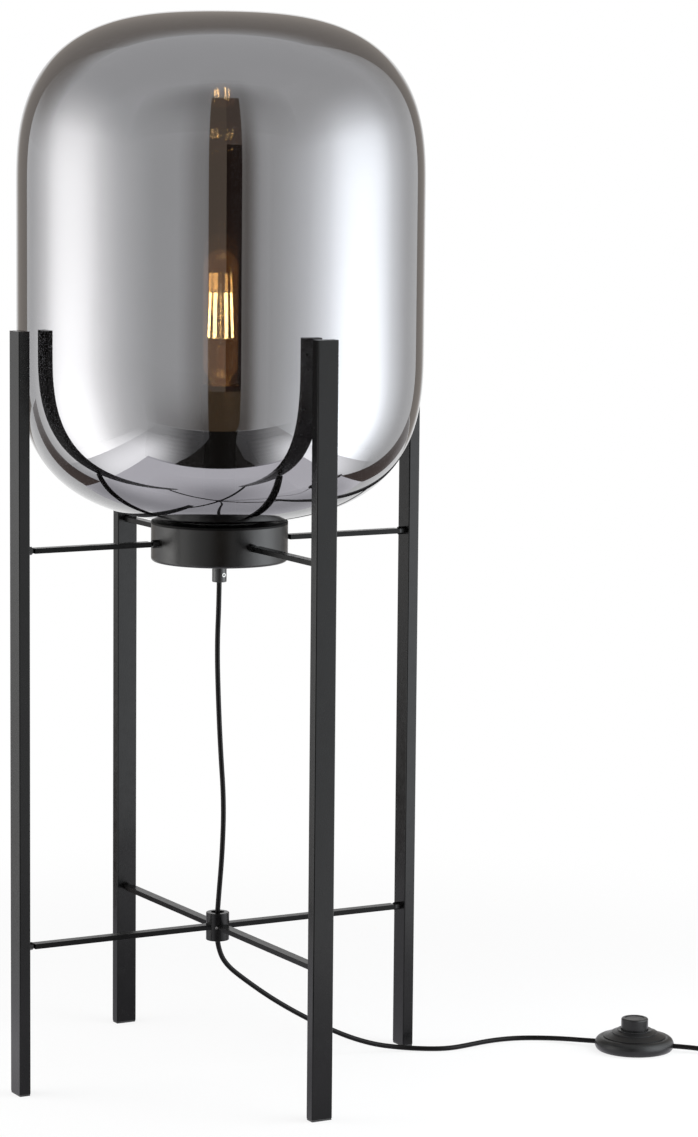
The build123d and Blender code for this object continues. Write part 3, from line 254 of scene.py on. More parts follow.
def new_material(name, **sockets):
    made = bpy.data.materials.new(name)
    made.use_nodes = True
    for socket, value in sockets.items():
        main_shader(made).inputs[socket.replace("_", " ")].default_value = value
    return made


def vary_colour(made, dark, light, scale):
    tree = made.node_tree
    ramp = add_node(tree, "ShaderNodeValToRGB")
    for mark, place, colour in zip(ramp.color_ramp.elements, (NOISE_LOW, NOISE_HIGH), (dark, light)):
        mark.position = place
        mark.color = (*colour, 1)
    join(tree, object_noise(tree, scale, COLOUR_DETAIL), ramp.inputs["Fac"])
    join(tree, ramp.outputs["Color"], main_shader(made).inputs["Base Color"])


def vary_roughness(made, roughness, scale):
    tree = made.node_tree
    noise = object_noise(tree, scale, ROUGHNESS_DETAIL)
    spread = map_range(tree, noise, (NOISE_LOW, NOISE_HIGH), roughness)
    join(tree, spread, main_shader(made).inputs["Roughness"])


def add_grain(made, scale, depth, strength):
    tree = made.node_tree
    bump = add_node(tree, "ShaderNodeBump", Strength=strength, Distance=depth)
    join(tree, object_noise(tree, scale, GRAIN_DETAIL), bump.inputs["Height"])
    join(tree, bump.outputs["Normal"], main_shader(made).inputs["Normal"])


# Kinds of material
COAT_COLOUR_SCALE = 60
COAT_ROUGHNESS_SCALE = 180
COAT_GRAIN_DEPTH = 0.00012
COAT_GRAIN_STRENGTH = 0.15
METAL_SHADE = 0.82
METAL_COLOUR_SCALE = 220
METAL_ROUGHNESS_SCALE = 700
PLASTIC_COLOUR_SCALE = 120
PLASTIC_ROUGHNESS_SCALE = 300
PLASTIC_GRAIN_STRENGTH = 0.35


def grey(value):
    return (value, value, value)


def coated_metal(name, dark, light, roughness, grain, specular):
    made = new_material(name, Specular_IOR_Level=specular)
    vary_colour(made, dark, light, COAT_COLOUR_SCALE)
    vary_roughness(made, roughness, COAT_ROUGHNESS_SCALE)
    add_grain(made, grain, COAT_GRAIN_DEPTH, COAT_GRAIN_STRENGTH)
    return made


def plain_metal(name, colour, roughness):
    made = new_material(name, Metallic=1.0)
    darker = [value * METAL_SHADE for value in colour]
    vary_colour(made, darker, colour, METAL_COLOUR_SCALE)
    vary_roughness(made, roughness, METAL_ROUGHNESS_SCALE)
    return made


def moulded(name, dark, light, roughness, grain, depth, specular=0.5):
    made = new_material(name, Specular_IOR_Level=specular)
    vary_colour(made, dark, light, PLASTIC_COLOUR_SCALE)
    vary_roughness(made, roughness, PLASTIC_ROUGHNESS_SCALE)
    add_grain(made, grain, depth, PLASTIC_GRAIN_STRENGTH)
    return made


# Materials of the frame and the drum
black_frame = coated_metal(
    "black_frame_coat", dark=(0.001, 0.001, 0.0011), light=(0.0024, 0.0024, 0.0025), roughness=(0.2, 0.28),
    grain=2600, specular=0.2,
)
black_bar = coated_metal(
    "black_bar_coat", dark=grey(0.001), light=grey(0.0022), roughness=(0.2, 0.28), grain=2600, specular=0.09,
)
black_drum = coated_metal(
    "black_drum_coat", dark=(0.0012, 0.001, 0.0008), light=(0.0024, 0.002, 0.0016), roughness=(0.28, 0.34),
    grain=2800, specular=0.36,
)
black_lid = coated_metal(
    "black_lid_coat", dark=(0.001, 0.0009, 0.0008), light=(0.002, 0.0018, 0.0016), roughness=(0.44, 0.54),
    grain=2800, specular=0.08,
)
black_fastener = coated_metal(
    "black_fastener_coat", dark=grey(0.0015), light=grey(0.0035), roughness=(0.26, 0.36), grain=3000,
    specular=0.3,
)

# Materials of the small pieces
black_grip = moulded("black_grip_plastic", grey(0.008), grey(0.014), (0.28, 0.4), grain=3200, depth=0.00008)
glide_plastic = moulded("glide_plastic", grey(0.02), grey(0.035), (0.6, 0.75), grain=2400, depth=0.0001)
zinc_steel = plain_metal("zinc_steel", (0.62, 0.62, 0.6), roughness=(0.24, 0.38))
screw_steel = plain_metal("screw_steel", (0.32, 0.32, 0.31), roughness=(0.26, 0.4))
gasket_rubber = moulded("gasket_rubber", grey(0.03), grey(0.05), (0.6, 0.8), grain=1800, depth=0.0001)
white_plastic = moulded(
    "white_plastic", (0.74, 0.73, 0.69), (0.84, 0.83, 0.79), (0.45, 0.6), grain=2200, depth=0.00006,
)
wire_plastic = moulded(
    "wire_plastic", (0.14, 0.07, 0.035), (0.22, 0.11, 0.055), (0.35, 0.5), grain=2500, depth=0.00005,
)
brown_plastic = moulded(
    "brown_phenolic", (0.016, 0.009, 0.006), (0.03, 0.017, 0.011), (0.28, 0.42), grain=1500, depth=0.00005,
)
socket_brass = plain_metal("socket_brass", (0.75, 0.58, 0.28), roughness=(0.2, 0.34))
cap_metal = plain_metal("cap_metal", (0.74, 0.72, 0.66), roughness=(0.16, 0.28))
black_insulator = moulded("black_insulator", grey(0.01), grey(0.02), (0.1, 0.2), grain=900, depth=0.00004)
support_wire = plain_metal("support_wire", (0.62, 0.6, 0.56), roughness=(0.2, 0.32))
switch_plastic = moulded(
    "switch_plastic", (0.0035, 0.0037, 0.004), (0.0065, 0.0068, 0.007), (0.3, 0.4), grain=3400, depth=0.00012,
    specular=0.3,
)
button_plastic = moulded(
    "button_plastic", (0.003, 0.0032, 0.0034), (0.006, 0.0062, 0.0065), (0.3, 0.4), grain=3400, depth=0.0001,
    specular=0.3,
)
pad_rubber = moulded("pad_rubber", grey(0.02), grey(0.035), (0.7, 0.85), grain=1800, depth=0.0001)
cord_plastic = moulded(
    "cord_sheath", (0.0015, 0.0013, 0.0013), (0.0034, 0.003, 0.003), (0.3, 0.42), grain=1600, depth=0.00006,
    specular=0.12,
)
tie_plastic = moulded("tie_strap", grey(0.012), grey(0.025), (0.55, 0.7), grain=4000, depth=0.0001)
plug_plastic = moulded("plug_plastic", grey(0.009), grey(0.015), (0.32, 0.45), grain=3000, depth=0.00008)
pin_metal = plain_metal("pin_metal", (0.72, 0.72, 0.7), roughness=(0.14, 0.24))

# Bulb, and the smoked half-mirror: its coat is on the outside, clear glass on the inside
GLASS_IOR = 1.5
FILAMENT_SPECKLE = 900
BULB_TINT_SCALE = 40
SHADE_TINT_SCALE = 6
SHADE_POLISH_SCALE = 9
filament = new_material(
    "filament_glow", Roughness=0.6, Emission_Strength=300.0, Emission_Color=(1.0, 0.7, 0.32, 1),
)
vary_colour(filament, (0.9, 0.6, 0.2), (1.0, 0.8, 0.4), FILAMENT_SPECKLE)
# The bulb's glass gets a faint amber painted glow, standing for the filament's light in the glass
bulb_glass = new_material(
    "bulb_glass", Roughness=0.0, IOR=GLASS_IOR, Transmission_Weight=1.0, Emission_Strength=0.07,
    Emission_Color=(1.0, 0.42, 0.13, 1),
)
vary_colour(bulb_glass, (0.95, 0.87, 0.74), (0.97, 0.9, 0.79), BULB_TINT_SCALE)
smoke_coat = new_material("smoke_mirror_coat", Metallic=0.74, IOR=GLASS_IOR, Transmission_Weight=1.0)
vary_colour(smoke_coat, (0.315, 0.315, 0.325), (0.33, 0.33, 0.342), SHADE_TINT_SCALE)
vary_roughness(smoke_coat, (0.0, 0.004), SHADE_POLISH_SCALE)
smoke_inside = new_material("smoke_clear_inside", Roughness=0.0, IOR=GLASS_IOR, Transmission_Weight=1.0)
vary_colour(smoke_inside, (0.93, 0.92, 0.91), (0.95, 0.94, 0.93), SHADE_TINT_SCALE)

# What each node wears, by the longest beginning of its name
worn_by = {
    "leg_": black_frame,
    "upper_bar_": black_bar,
    "lower_bar_": black_bar,
    "leg_glides": glide_plastic,
    "lock_nuts": black_fastener,
    "drum_inner_nuts": zinc_steel,
    "cord_sleeve": black_frame,
    "set_screws": screw_steel,
    "drum_": black_drum,
    "drum_lid": black_lid,
    "lid_posts": zinc_steel,
    "lid_screws": black_fastener,
    "shade_ring": black_drum,
    "shade_gasket": gasket_rubber,
    "cord_grip": black_grip,
    "cord_grip_nut": zinc_steel,
    "terminal_block": white_plastic,
    "terminal_screws": zinc_steel,
    "lead_wires": wire_plastic,
    "nipple_": zinc_steel,
    "lamp_column": black_drum,
    "holder_base": brown_plastic,
    "holder_sleeve": brown_plastic,
    "holder_insert": white_plastic,
    "holder_screw_shell": socket_brass,
    "holder_centre_contact": socket_brass,
    "bulb_cap": cap_metal,
    "bulb_tip": cap_metal,
    "bulb_insulator": black_insulator,
    "bulb_stem": bulb_glass,
    "bulb_envelope": bulb_glass,
    "bulb_filaments": filament,
    "bulb_supports": support_wire,
    "switch_housing": switch_plastic,
    "switch_plate": switch_plastic,
    "switch_pad": pad_rubber,
    "switch_screws": zinc_steel,
    "switch_button": button_plastic,
    "switch_mechanism": white_plastic,
    "switch_contacts": socket_brass,
    "cord_tie": tie_plastic,
    "plug_relief": plug_plastic,
    "plug_body": plug_plastic,
    "plug_pins": pin_metal,
}


def material_for(name):
    fitting = [key for key in worn_by if name.startswith(key)]
    return worn_by[max(fitting, key=len)] if fitting else None


for name, made in nodes.items():
    worn = material_for(name)
    if worn is None:
        continue
    if not made.material_slots:
        made.data.materials.append(worn)
    for place in made.material_slots:
        place.material = worn
for cord in (cord_main, cord_tail):
    cord.data.materials.append(cord_plastic)

# Glass shade, turned from the same superellipse as the solid
SHADE_RADIUS = 0.150
SHADE_WALL = 0.0035
SHADE_LOW_Z = 0.4172
SHADE_TOP_Z = 0.7905
DOME_HEIGHT = 0.130
DOME_POWER = 2.8
MOUTH_RADIUS = 0.027
SEAT_Z = 0.418
DOME_STEPS = 72
SHADE_SIDES = 256
POLE_RADIUS = 1e-6
COAT_SLOT = 0
INSIDE_SLOT = 1


def dome(radius, height, turn):
    across = radius * math.sin(turn) ** (2 / DOME_POWER)
    return across, height * (1 - math.cos(turn) ** (2 / DOME_POWER))


def dome_turn(radius, across):
    return math.asin((across / radius) ** (DOME_POWER / 2))


def shade_side(inset, first_turn):
    """(radius, height) points of one wall from the mouth up to the crown."""
    radius = SHADE_RADIUS - inset
    height = DOME_HEIGHT - inset
    low = []
    high = []
    for index in range(DOME_STEPS + 1):
        share = index / DOME_STEPS
        across, rise = dome(radius, height, first_turn + (math.pi / 2 - first_turn) * share)
        low.append((across, SHADE_LOW_Z + inset + rise))
        across, rise = dome(radius, height, math.pi / 2 * share)
        high.append((across, SHADE_TOP_Z - inset - rise))
    return low + list(reversed(high))


seat_turn = math.acos((1 - (SEAT_Z - SHADE_LOW_Z) / DOME_HEIGHT) ** (DOME_POWER / 2))
outer_wall = shade_side(0.0, seat_turn)
inner_wall = shade_side(SHADE_WALL, dome_turn(SHADE_RADIUS - SHADE_WALL, MOUTH_RADIUS))


def shade_mesh():
    """Outer wall, inner wall and ground mouth as one closed skin."""
    mesh = bpy.data.meshes.new("shade_glass")
    build = bmesh.new()
    spots = [2 * math.pi * corner / SHADE_SIDES for corner in range(SHADE_SIDES)]

    def ring_of(radius, height):
        if radius < POLE_RADIUS:
            return [build.verts.new((0, 0, height))]
        return [build.verts.new((radius * math.cos(a), radius * math.sin(a), height)) for a in spots]

    def skin(low, high, slot):
        for corner in range(SHADE_SIDES):
            after = (corner + 1) % SHADE_SIDES
            if len(high) == 1:
                face = build.faces.new((low[corner], low[after], high[0]))
            else:
                face = build.faces.new((low[corner], low[after], high[after], high[corner]))
            face.smooth = True
            face.material_index = slot

    outer = [ring_of(radius, height) for radius, height in outer_wall]
    inner = [ring_of(radius, height) for radius, height in inner_wall]
    lip = ring_of(MOUTH_RADIUS, SEAT_Z)
    for low, high in zip(outer, outer[1:]):
        skin(low, high, COAT_SLOT)
    for low, high in zip(inner, inner[1:]):
        skin(low, high, INSIDE_SLOT)
    skin(lip, outer[0], INSIDE_SLOT)
    skin(lip, inner[0], INSIDE_SLOT)
    bmesh.ops.recalc_face_normals(build, faces=build.faces)
    for ring in (lip, outer[0], inner[0]):
        for first, second in zip(ring, ring[1:] + ring[:1]):
            build.edges.get((first, second)).smooth = False
    build.to_mesh(mesh)
    build.free()
    return mesh


shade = bpy.data.objects.new("shade_glass", shade_mesh())
shade.data.materials.append(smoke_coat)
shade.data.materials.append(smoke_inside)
scene.collection.objects.link(shade)
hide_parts("glass_shade_bowl", "glass_shade_crown")
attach(shade, "shade")

# Spring under the switch's button; the real one gives way as the button goes down, this mesh is built at its
# rest length
SPRING_RADIUS = 0.005
SPRING_WIRE_RADIUS = 0.0004
SPRING_TURNS = 5
SPRING_STEPS_A_TURN = 24
SPRING_WIRE_SIDES = 10
spring_low, spring_high = [Vector(corner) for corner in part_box("switch_spring")]
spring_height = spring_high.z - spring_low.z


def spring_mesh():
    """Round wire wound about the switch's axis, closed at both ends."""
    mesh = bpy.data.meshes.new("press_spring")
    build = bmesh.new()
    first_z = spring_low.z + SPRING_WIRE_RADIUS
    climb = spring_height - 2 * SPRING_WIRE_RADIUS
    last_step = SPRING_TURNS * SPRING_STEPS_A_TURN
    slope = climb / (2 * math.pi * SPRING_TURNS)
    rings = []
    for step in range(last_step + 1):
        angle = SWITCH_TURN + 2 * math.pi * step / SPRING_STEPS_A_TURN
        outward = Vector((math.cos(angle), math.sin(angle), 0))
        sideways = Vector((-math.sin(angle), math.cos(angle), 0))
        onward = (sideways * SPRING_RADIUS + Vector((0, 0, slope))).normalized()
        across = outward.cross(onward)
        middle = SWITCH_PLACE + outward * SPRING_RADIUS + Vector((0, 0, first_z + climb * step / last_step))
        ring = []
        for corner in range(SPRING_WIRE_SIDES):
            spot = 2 * math.pi * corner / SPRING_WIRE_SIDES
            offset = outward * math.cos(spot) + across * math.sin(spot)
            ring.append(build.verts.new(middle + offset * SPRING_WIRE_RADIUS))
        rings.append(ring)
    for low, high in zip(rings, rings[1:]):
        for corner in range(SPRING_WIRE_SIDES):
            after = (corner + 1) % SPRING_WIRE_SIDES
            build.faces.new((low[corner], low[after], high[after], high[corner])).smooth = True
    build.faces.new(rings[0])
    build.faces.new(rings[-1])
    bmesh.ops.recalc_face_normals(build, faces=build.faces)
    build.to_mesh(mesh)
    build.free()
    return mesh


spring = bpy.data.objects.new("press_spring", spring_mesh())
spring.data.materials.append(support_wire)
scene.collection.objects.link(spring)
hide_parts("switch_spring")
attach(spring, "stand")
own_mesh(spring)

# Pieces of the switch, with its spring
switch_pieces = [nodes[name] for name in sorted(nodes) if name.startswith("switch_")]
switch_pieces.append(spring)

# Stage: a white floor and surroundings, and sheets of a studio that only mirrors and glass see
TO_CAMERA = Vector((CAMERA_PLACE.x, CAMERA_PLACE.y, 0)).normalized()
TO_RIGHT = Vector((-TO_CAMERA.y, TO_CAMERA.x, 0))
EVEN = [(0.0, 1.0), (0.5, 1.0), (1.0, 1.0)]


def ahead(forward, right, height=0.0):
    """Point this far from the lamp's axis toward the camera and to the picture's right."""
    return TO_CAMERA * forward + TO_RIGHT * right + Vector((0, 0, height))


def toward(angle, distance):
    """Point on the floor at an angle from the camera's direction, positive to the picture's right."""
    turned = math.radians(angle)
    return ahead(math.cos(turned) * distance, math.sin(turned) * distance)


def seen_rays(tree):
    """1 where the camera, a mirror or clear glass looks, 0 for the light that falls on things."""
    path = add_node(tree, "ShaderNodeLightPath").outputs
    first = combine(tree, "MAXIMUM", path["Is Camera Ray"], path["Is Glossy Ray"])
    return combine(tree, "MAXIMUM", first, path["Is Transmission Ray"])


def fade(tree, source, stops):
    """Smooth ramp through (position, value) stops."""
    ramp = add_node(tree, "ShaderNodeValToRGB")
    ramp.color_ramp.interpolation = "B_SPLINE"
    marks = ramp.color_ramp.elements
    for mark, (position, value) in zip(marks, (stops[0], stops[-1])):
        mark.position = position
        mark.color = (*grey(value), 1)
    for position, value in stops[1:-1]:
        marks.new(position).color = (*grey(value), 1)
    join(tree, source, ramp.inputs["Fac"])
    return ramp.outputs["Color"]


def faded_glow(name, colour, strength, across, along):
    """Glow that fades into clear by two ramps over the sheet's own coordinates."""
    made = bpy.data.materials.new(name)
    made.use_nodes = True
    tree = made.node_tree
    tree.nodes.clear()
    place = add_node(tree, "ShaderNodeTexCoord")
    split = add_node(tree, "ShaderNodeSeparateXYZ")
    join(tree, place.outputs["UV"], split.inputs["Vector"])
    over = fade(tree, split.outputs["X"], across)
    up = fade(tree, split.outputs["Y"], along)
    clear = add_node(tree, "ShaderNodeBsdfTransparent")
    glow = add_node(tree, "ShaderNodeEmission", Color=(*colour, 1), Strength=strength)
    cover = combine(tree, "MULTIPLY", over, up)
    mixed = mix_shaders(tree, cover, clear.outputs["BSDF"], glow.outputs["Emission"])
    out = add_node(tree, "ShaderNodeOutputMaterial")
    join(tree, mixed, out.inputs["Surface"])
    return made


def stage_sheet(name, rows, colour, across=EVEN, along=EVEN, strength=1.0, lights=False):
    """Sheet of rows, each a left end, a right end and a share along. Only mirrors and glass see it."""
    mesh = bpy.data.meshes.new(name)
    ends = [end for left, right, _ in rows for end in (left, right)]
    faces = [(2 * i, 2 * i + 1, 2 * i + 3, 2 * i + 2) for i in range(len(rows) - 1)]
    mesh.from_pydata([tuple(end) for end in ends], [], faces)
    shares = [spot for _, _, share in rows for spot in ((0, share), (1, share))]
    layer = mesh.uv_layers.new(name="UVMap")
    for corner in mesh.loops:
        layer.data[corner.index].uv = shares[corner.vertex_index]
    mesh.materials.append(faded_glow(name, colour, strength, across, along))
    made = bpy.data.objects.new(name, mesh)
    scene.collection.objects.link(made)
    made.visible_camera = False
    made.visible_shadow = False
    made.visible_diffuse = lights
    return made


# Floor, whitest away from the lamp, so that its shadow shows
FLOOR_SPAN = 8.0
FLOOR_WHITE_FROM = 0.3
FLOOR_WHITE_AT = 0.9
FLOOR_LEAST_WHITE = 0.8
FLOOR_TONE_SCALE = 2
floor_white = new_material("floor_white", Roughness=0.9, Specular_IOR_Level=0.0)
vary_colour(floor_white, grey(0.9), grey(0.92), FLOOR_TONE_SCALE)
floor_tree = floor_white.node_tree
floor_spot = add_node(floor_tree, "ShaderNodeTexCoord")
floor_distance = add_node(floor_tree, "ShaderNodeVectorMath", operation="LENGTH")
join(floor_tree, floor_spot.outputs["Object"], floor_distance.inputs[0])
floor_far = map_range(
    floor_tree, floor_distance.outputs["Value"], (FLOOR_WHITE_FROM, FLOOR_WHITE_AT), (FLOOR_LEAST_WHITE, 1.0),
    interpolation_type="SMOOTHSTEP",
)
floor_share = combine(floor_tree, "MULTIPLY", floor_far, seen_rays(floor_tree))
floor_glow = add_node(floor_tree, "ShaderNodeEmission", Color=(1, 1, 1, 1), Strength=1.0)
floor_mix = mix_shaders(
    floor_tree, floor_share, main_shader(floor_white).outputs["BSDF"], floor_glow.outputs["Emission"],
)
join(floor_tree, floor_mix, floor_tree.nodes["Material Output"].inputs["Surface"])
floor_mesh = bpy.data.meshes.new("floor")
floor_corners = [(x * FLOOR_SPAN, y * FLOOR_SPAN, 0) for x, y in ((-1, -1), (1, -1), (1, 1), (-1, 1))]
floor_mesh.from_pydata(floor_corners, [], [(0, 1, 2, 3)])
floor_mesh.materials.append(floor_white)
floor = bpy.data.objects.new("floor", floor_mesh)
scene.collection.objects.link(floor)

# Light panels beside the lamp, brightest low down
PANEL_HEIGHT = 1.3
PANEL_DISTANCE = 0.66
PANEL_FORWARD = 0.104
PANEL_ACROSS = [
    (0.0, 0.0), (0.2, 0.0), (0.27, 0.04), (0.361, 0.3), (0.43, 0.88), (0.5, 1.0), (0.57, 0.9), (0.639, 0.46),
    (0.739, 0.17), (0.878, 0.05), (1.0, 0.0),
]
PANEL_RISE = [
    (0.0, 0.84), (0.2, 1.0), (0.29, 0.98), (0.38, 0.86), (0.5, 0.72), (0.62, 0.57), (0.7, 0.25), (0.8, 0.067),
    (0.9, 0.0), (1.0, 0.0),
]


def light_panel(name, angle, half_width, strength, colour):
    """Panel whose own coordinate runs from behind the lamp to the camera's side."""
    middle = toward(angle, PANEL_DISTANCE) + TO_CAMERA * PANEL_FORWARD
    sideways = Vector((0, 0, 1)).cross(toward(angle, 1)).normalized() * half_width
    if sideways.dot(TO_CAMERA) < 0:
        sideways = -sideways
    top = Vector((0, 0, PANEL_HEIGHT))
    rows = [(middle - sideways, middle + sideways, 0), (middle - sideways + top, middle + sideways + top, 1)]
    stage_sheet(name, rows, colour, PANEL_ACROSS, PANEL_RISE, strength, lights=True)


light_panel("panel_left", angle=-92, half_width=0.9, strength=4.45, colour=(1.0, 0.992, 0.98))
light_panel("panel_right", angle=86, half_width=1.0, strength=5.4, colour=(0.95, 0.985, 1.015))

# Dark place where the camera stands
SLOT_DISTANCE = 0.97
SLOT_LEFT = -0.107
SLOT_SPLIT = 0.045
SLOT_RIGHT = 0.18
SLOT_FOOT_RIGHT = 0.152
SLOT_HEIGHTS = (0.0, 0.1, 0.37, 0.87, 1.5)


def standing_sheet(name, distance, ends, colour, across=EVEN, along=EVEN):
    """Upright sheet facing the lamp, from (left, right, height) rows."""
    span = ends[-1][2] - ends[0][2]
    rows = []
    for left, right, height in ends:
        share = (height - ends[0][2]) / span
        rows.append((ahead(distance, left, height), ahead(distance, right, height), share))
    return stage_sheet(name, rows, colour, across, along)


foot, ankle, sill, half_up, head = SLOT_HEIGHTS
standing_sheet("slot_low", SLOT_DISTANCE, [
    (SLOT_LEFT, SLOT_FOOT_RIGHT, foot), (SLOT_LEFT, SLOT_RIGHT, ankle), (SLOT_LEFT, SLOT_RIGHT, sill),
], (0.128, 0.085, 0.049))
standing_sheet("slot_left", SLOT_DISTANCE, [
    (SLOT_LEFT, SLOT_SPLIT, sill), (SLOT_LEFT, SLOT_SPLIT, head),
], (0.22, 0.17, 0.13))
standing_sheet("slot_right", SLOT_DISTANCE, [
    (SLOT_SPLIT, SLOT_RIGHT, sill), (SLOT_SPLIT, SLOT_RIGHT, half_up),
], (0.028, 0.016, 0.012))
standing_sheet("slot_head", SLOT_DISTANCE, [
    (SLOT_SPLIT, SLOT_RIGHT, half_up), (SLOT_SPLIT, SLOT_RIGHT, head),
], (0.165, 0.125, 0.1))

# Soft haze about the dark place and at its foot, and a faint one higher up
HAZE_STEP = 0.005
HAZE_HIGH_DISTANCE = 1.3
HAZE_LOW_ACROSS = [
    (0.0, 0.0), (0.048, 0.06), (0.13, 0.22), (0.207, 0.4), (0.307, 0.46), (0.35, 0.5), (0.735, 0.92),
    (0.765, 0.88), (0.81, 0.7), (0.86, 0.42), (0.92, 0.12), (1.0, 0.0),
]
HAZE_LOW_RISE = [(0.0, 1.0), (0.35, 1.0), (0.46, 0.78), (0.66, 0.38), (1.0, 0.0)]
HAZE_FOOT_ACROSS = [
    (0.0, 0.0), (0.19, 0.33), (0.35, 0.53), (0.47, 0.65), (0.53, 0.9), (0.58, 1.0), (0.8, 1.0), (0.85, 0.6),
    (0.9, 0.2), (1.0, 0.0),
]
HAZE_FOOT_RISE = [(0.0, 1.0), (0.2, 0.9), (0.38, 0.69), (0.56, 0.46), (0.8, 0.2), (1.0, 0.0)]
HAZE_HIGH_ACROSS = [(0.0, 0.0), (0.3, 0.3), (0.45, 0.45), (0.65, 0.45), (0.8, 0.3), (1.0, 0.0)]
HAZE_HIGH_RISE = [(0.0, 0.0), (0.3, 0.8), (0.5, 1.0), (0.7, 0.8), (1.0, 0.0)]
standing_sheet(
    "haze_low", SLOT_DISTANCE + 2 * HAZE_STEP, [(-0.4, 0.43, 0.0), (-0.4, 0.43, 2.2)], (0.2, 0.175, 0.15),
    HAZE_LOW_ACROSS, HAZE_LOW_RISE,
)
standing_sheet(
    "haze_foot", SLOT_DISTANCE + HAZE_STEP, [(-0.85, 0.45, 0.0), (-0.85, 0.45, 0.45)], (0.2, 0.18, 0.165),
    HAZE_FOOT_ACROSS, HAZE_FOOT_RISE,
)
standing_sheet(
    "haze_high", HAZE_HIGH_DISTANCE, [(-1.6, 1.2, 1.1), (-1.6, 1.2, 2.5)], (0.2, 0.19, 0.18),
    HAZE_HIGH_ACROSS, HAZE_HIGH_RISE,
)

# Floor before the lamp: a sharp dark shape, as (forward, left, right) rows, in a soft strip
DARK_LIFT = 0.0012
STRIP_LIFT = 0.0006
DARK_SHAPE = [
    (0.365, -0.225, 0.175), (0.42, -0.21, 0.16), (0.47, -0.185, 0.135), (0.58, -0.15, 0.13),
    (0.74, -0.105, 0.12), (0.83, -0.09, 0.14), (0.97, -0.107, 0.17),
]
STRIP_FROM = 0.36
STRIP_STEPS = 12
STRIP_HALF_WIDTH = 0.42
STRIP_WIDENING = 0.4
STRIP_ACROSS = [
    (0.0, 0.0), (0.165, 0.25), (0.275, 0.8), (0.345, 1.0), (0.655, 1.0), (0.725, 0.8), (0.835, 0.25),
    (1.0, 0.0),
]
STRIP_ALONG = [(0.0, 1.0), (0.4, 0.97), (0.75, 0.93), (1.0, 0.9)]
shape_rows = []
for index, (forward, left, right) in enumerate(DARK_SHAPE):
    share = index / (len(DARK_SHAPE) - 1)
    shape_rows.append((ahead(forward, left, DARK_LIFT), ahead(forward, right, DARK_LIFT), share))
stage_sheet("floor_dark", shape_rows, (0.018, 0.016, 0.014))
strip_rows = []
for index in range(STRIP_STEPS + 1):
    share = (index / STRIP_STEPS) ** 2
    forward = STRIP_FROM + (SLOT_DISTANCE - STRIP_FROM) * share
    half = STRIP_HALF_WIDTH + STRIP_WIDENING * share
    ends = [ahead(forward, right, STRIP_LIFT) for right in (-half, half)]
    strip_rows.append((*ends, index / STRIP_STEPS))
stage_sheet("floor_strip", strip_rows, (0.045, 0.043, 0.045), STRIP_ACROSS, STRIP_ALONG)

# Floor about the lamp as mirrors and glass see it: a painted pool of light with a painted shine of light
# beside it, a painted shadow under the lamp, dim behind it, and brown bands
BEHIND_LIFT = 0.00048
PAINTED_SHADOW_LIFT = 0.00045
LIGHT_POOL_LIFT = 0.0003
SHINE_LIFT = 0.00015
LIGHT_POOL_LEFT = -0.41
LIGHT_POOL_RIGHT = 0.47
SHINE_LEFT = [(0.0, 0.2), (0.2, 0.6), (0.45, 1.0), (0.6, 1.0), (0.78, 0.5), (1.0, 0.0)]
SHINE_RIGHT = [(1 - place, value) for place, value in reversed(SHINE_LEFT)]
SHINE_ALONG = [(0.0, 0.0), (0.2, 0.5), (0.4, 1.0), (0.7, 1.0), (0.85, 0.5), (1.0, 0.0)]
PAINTED_SHADOW_ACROSS = [(0.0, 0.0), (0.2, 0.35), (0.4, 0.95), (0.5, 1.0), (0.6, 0.95), (0.8, 0.35), (1.0, 0.0)]
PAINTED_SHADOW_ALONG = [(0.0, 0.0), (0.25, 0.5), (0.5, 1.0), (0.7, 0.95), (0.85, 0.4), (1.0, 0.0)]
BEHIND_ACROSS = [(0.0, 0.0), (0.12, 0.6), (0.25, 1.0), (0.75, 0.9), (0.9, 0.5), (1.0, 0.0)]
BEHIND_ALONG = [(0.0, 0.8), (0.3, 1.0), (0.6, 1.0), (0.8, 0.6), (1.0, 0.0)]
BAND_ALONG = [(0.0, 1.0), (0.2, 0.97), (0.4, 0.85), (0.7, 0.72), (1.0, 0.6)]
BROWN = (0.13, 0.1, 0.09)


def floor_patch(name, near, far, lift, colour, across, along):
    """Place on the floor. Each of its two rows is the (forward, right) of its left and right end."""
    rows = []
    for share, (left, right) in enumerate((near, far)):
        rows.append((ahead(*left, lift), ahead(*right, lift), share))
    stage_sheet(name, rows, colour, across, along)


def floor_square(name, forward, right, lift, colour, across=EVEN, along=EVEN):
    """Floor patch with square corners between two distances forward and two to the right."""
    near, far = [[(distance, end) for end in right] for distance in forward]
    floor_patch(name, near, far, lift, colour, across, along)


floor_square(
    "floor_shine_left", (-0.3, 0.75), (-0.8, -0.16), SHINE_LIFT, (3.0, 2.98, 3.0), SHINE_LEFT, SHINE_ALONG,
)
floor_square(
    "floor_shine_right", (-0.3, 0.75), (0.2, 0.85), SHINE_LIFT, (3.2, 3.2, 3.25), SHINE_RIGHT, SHINE_ALONG,
)
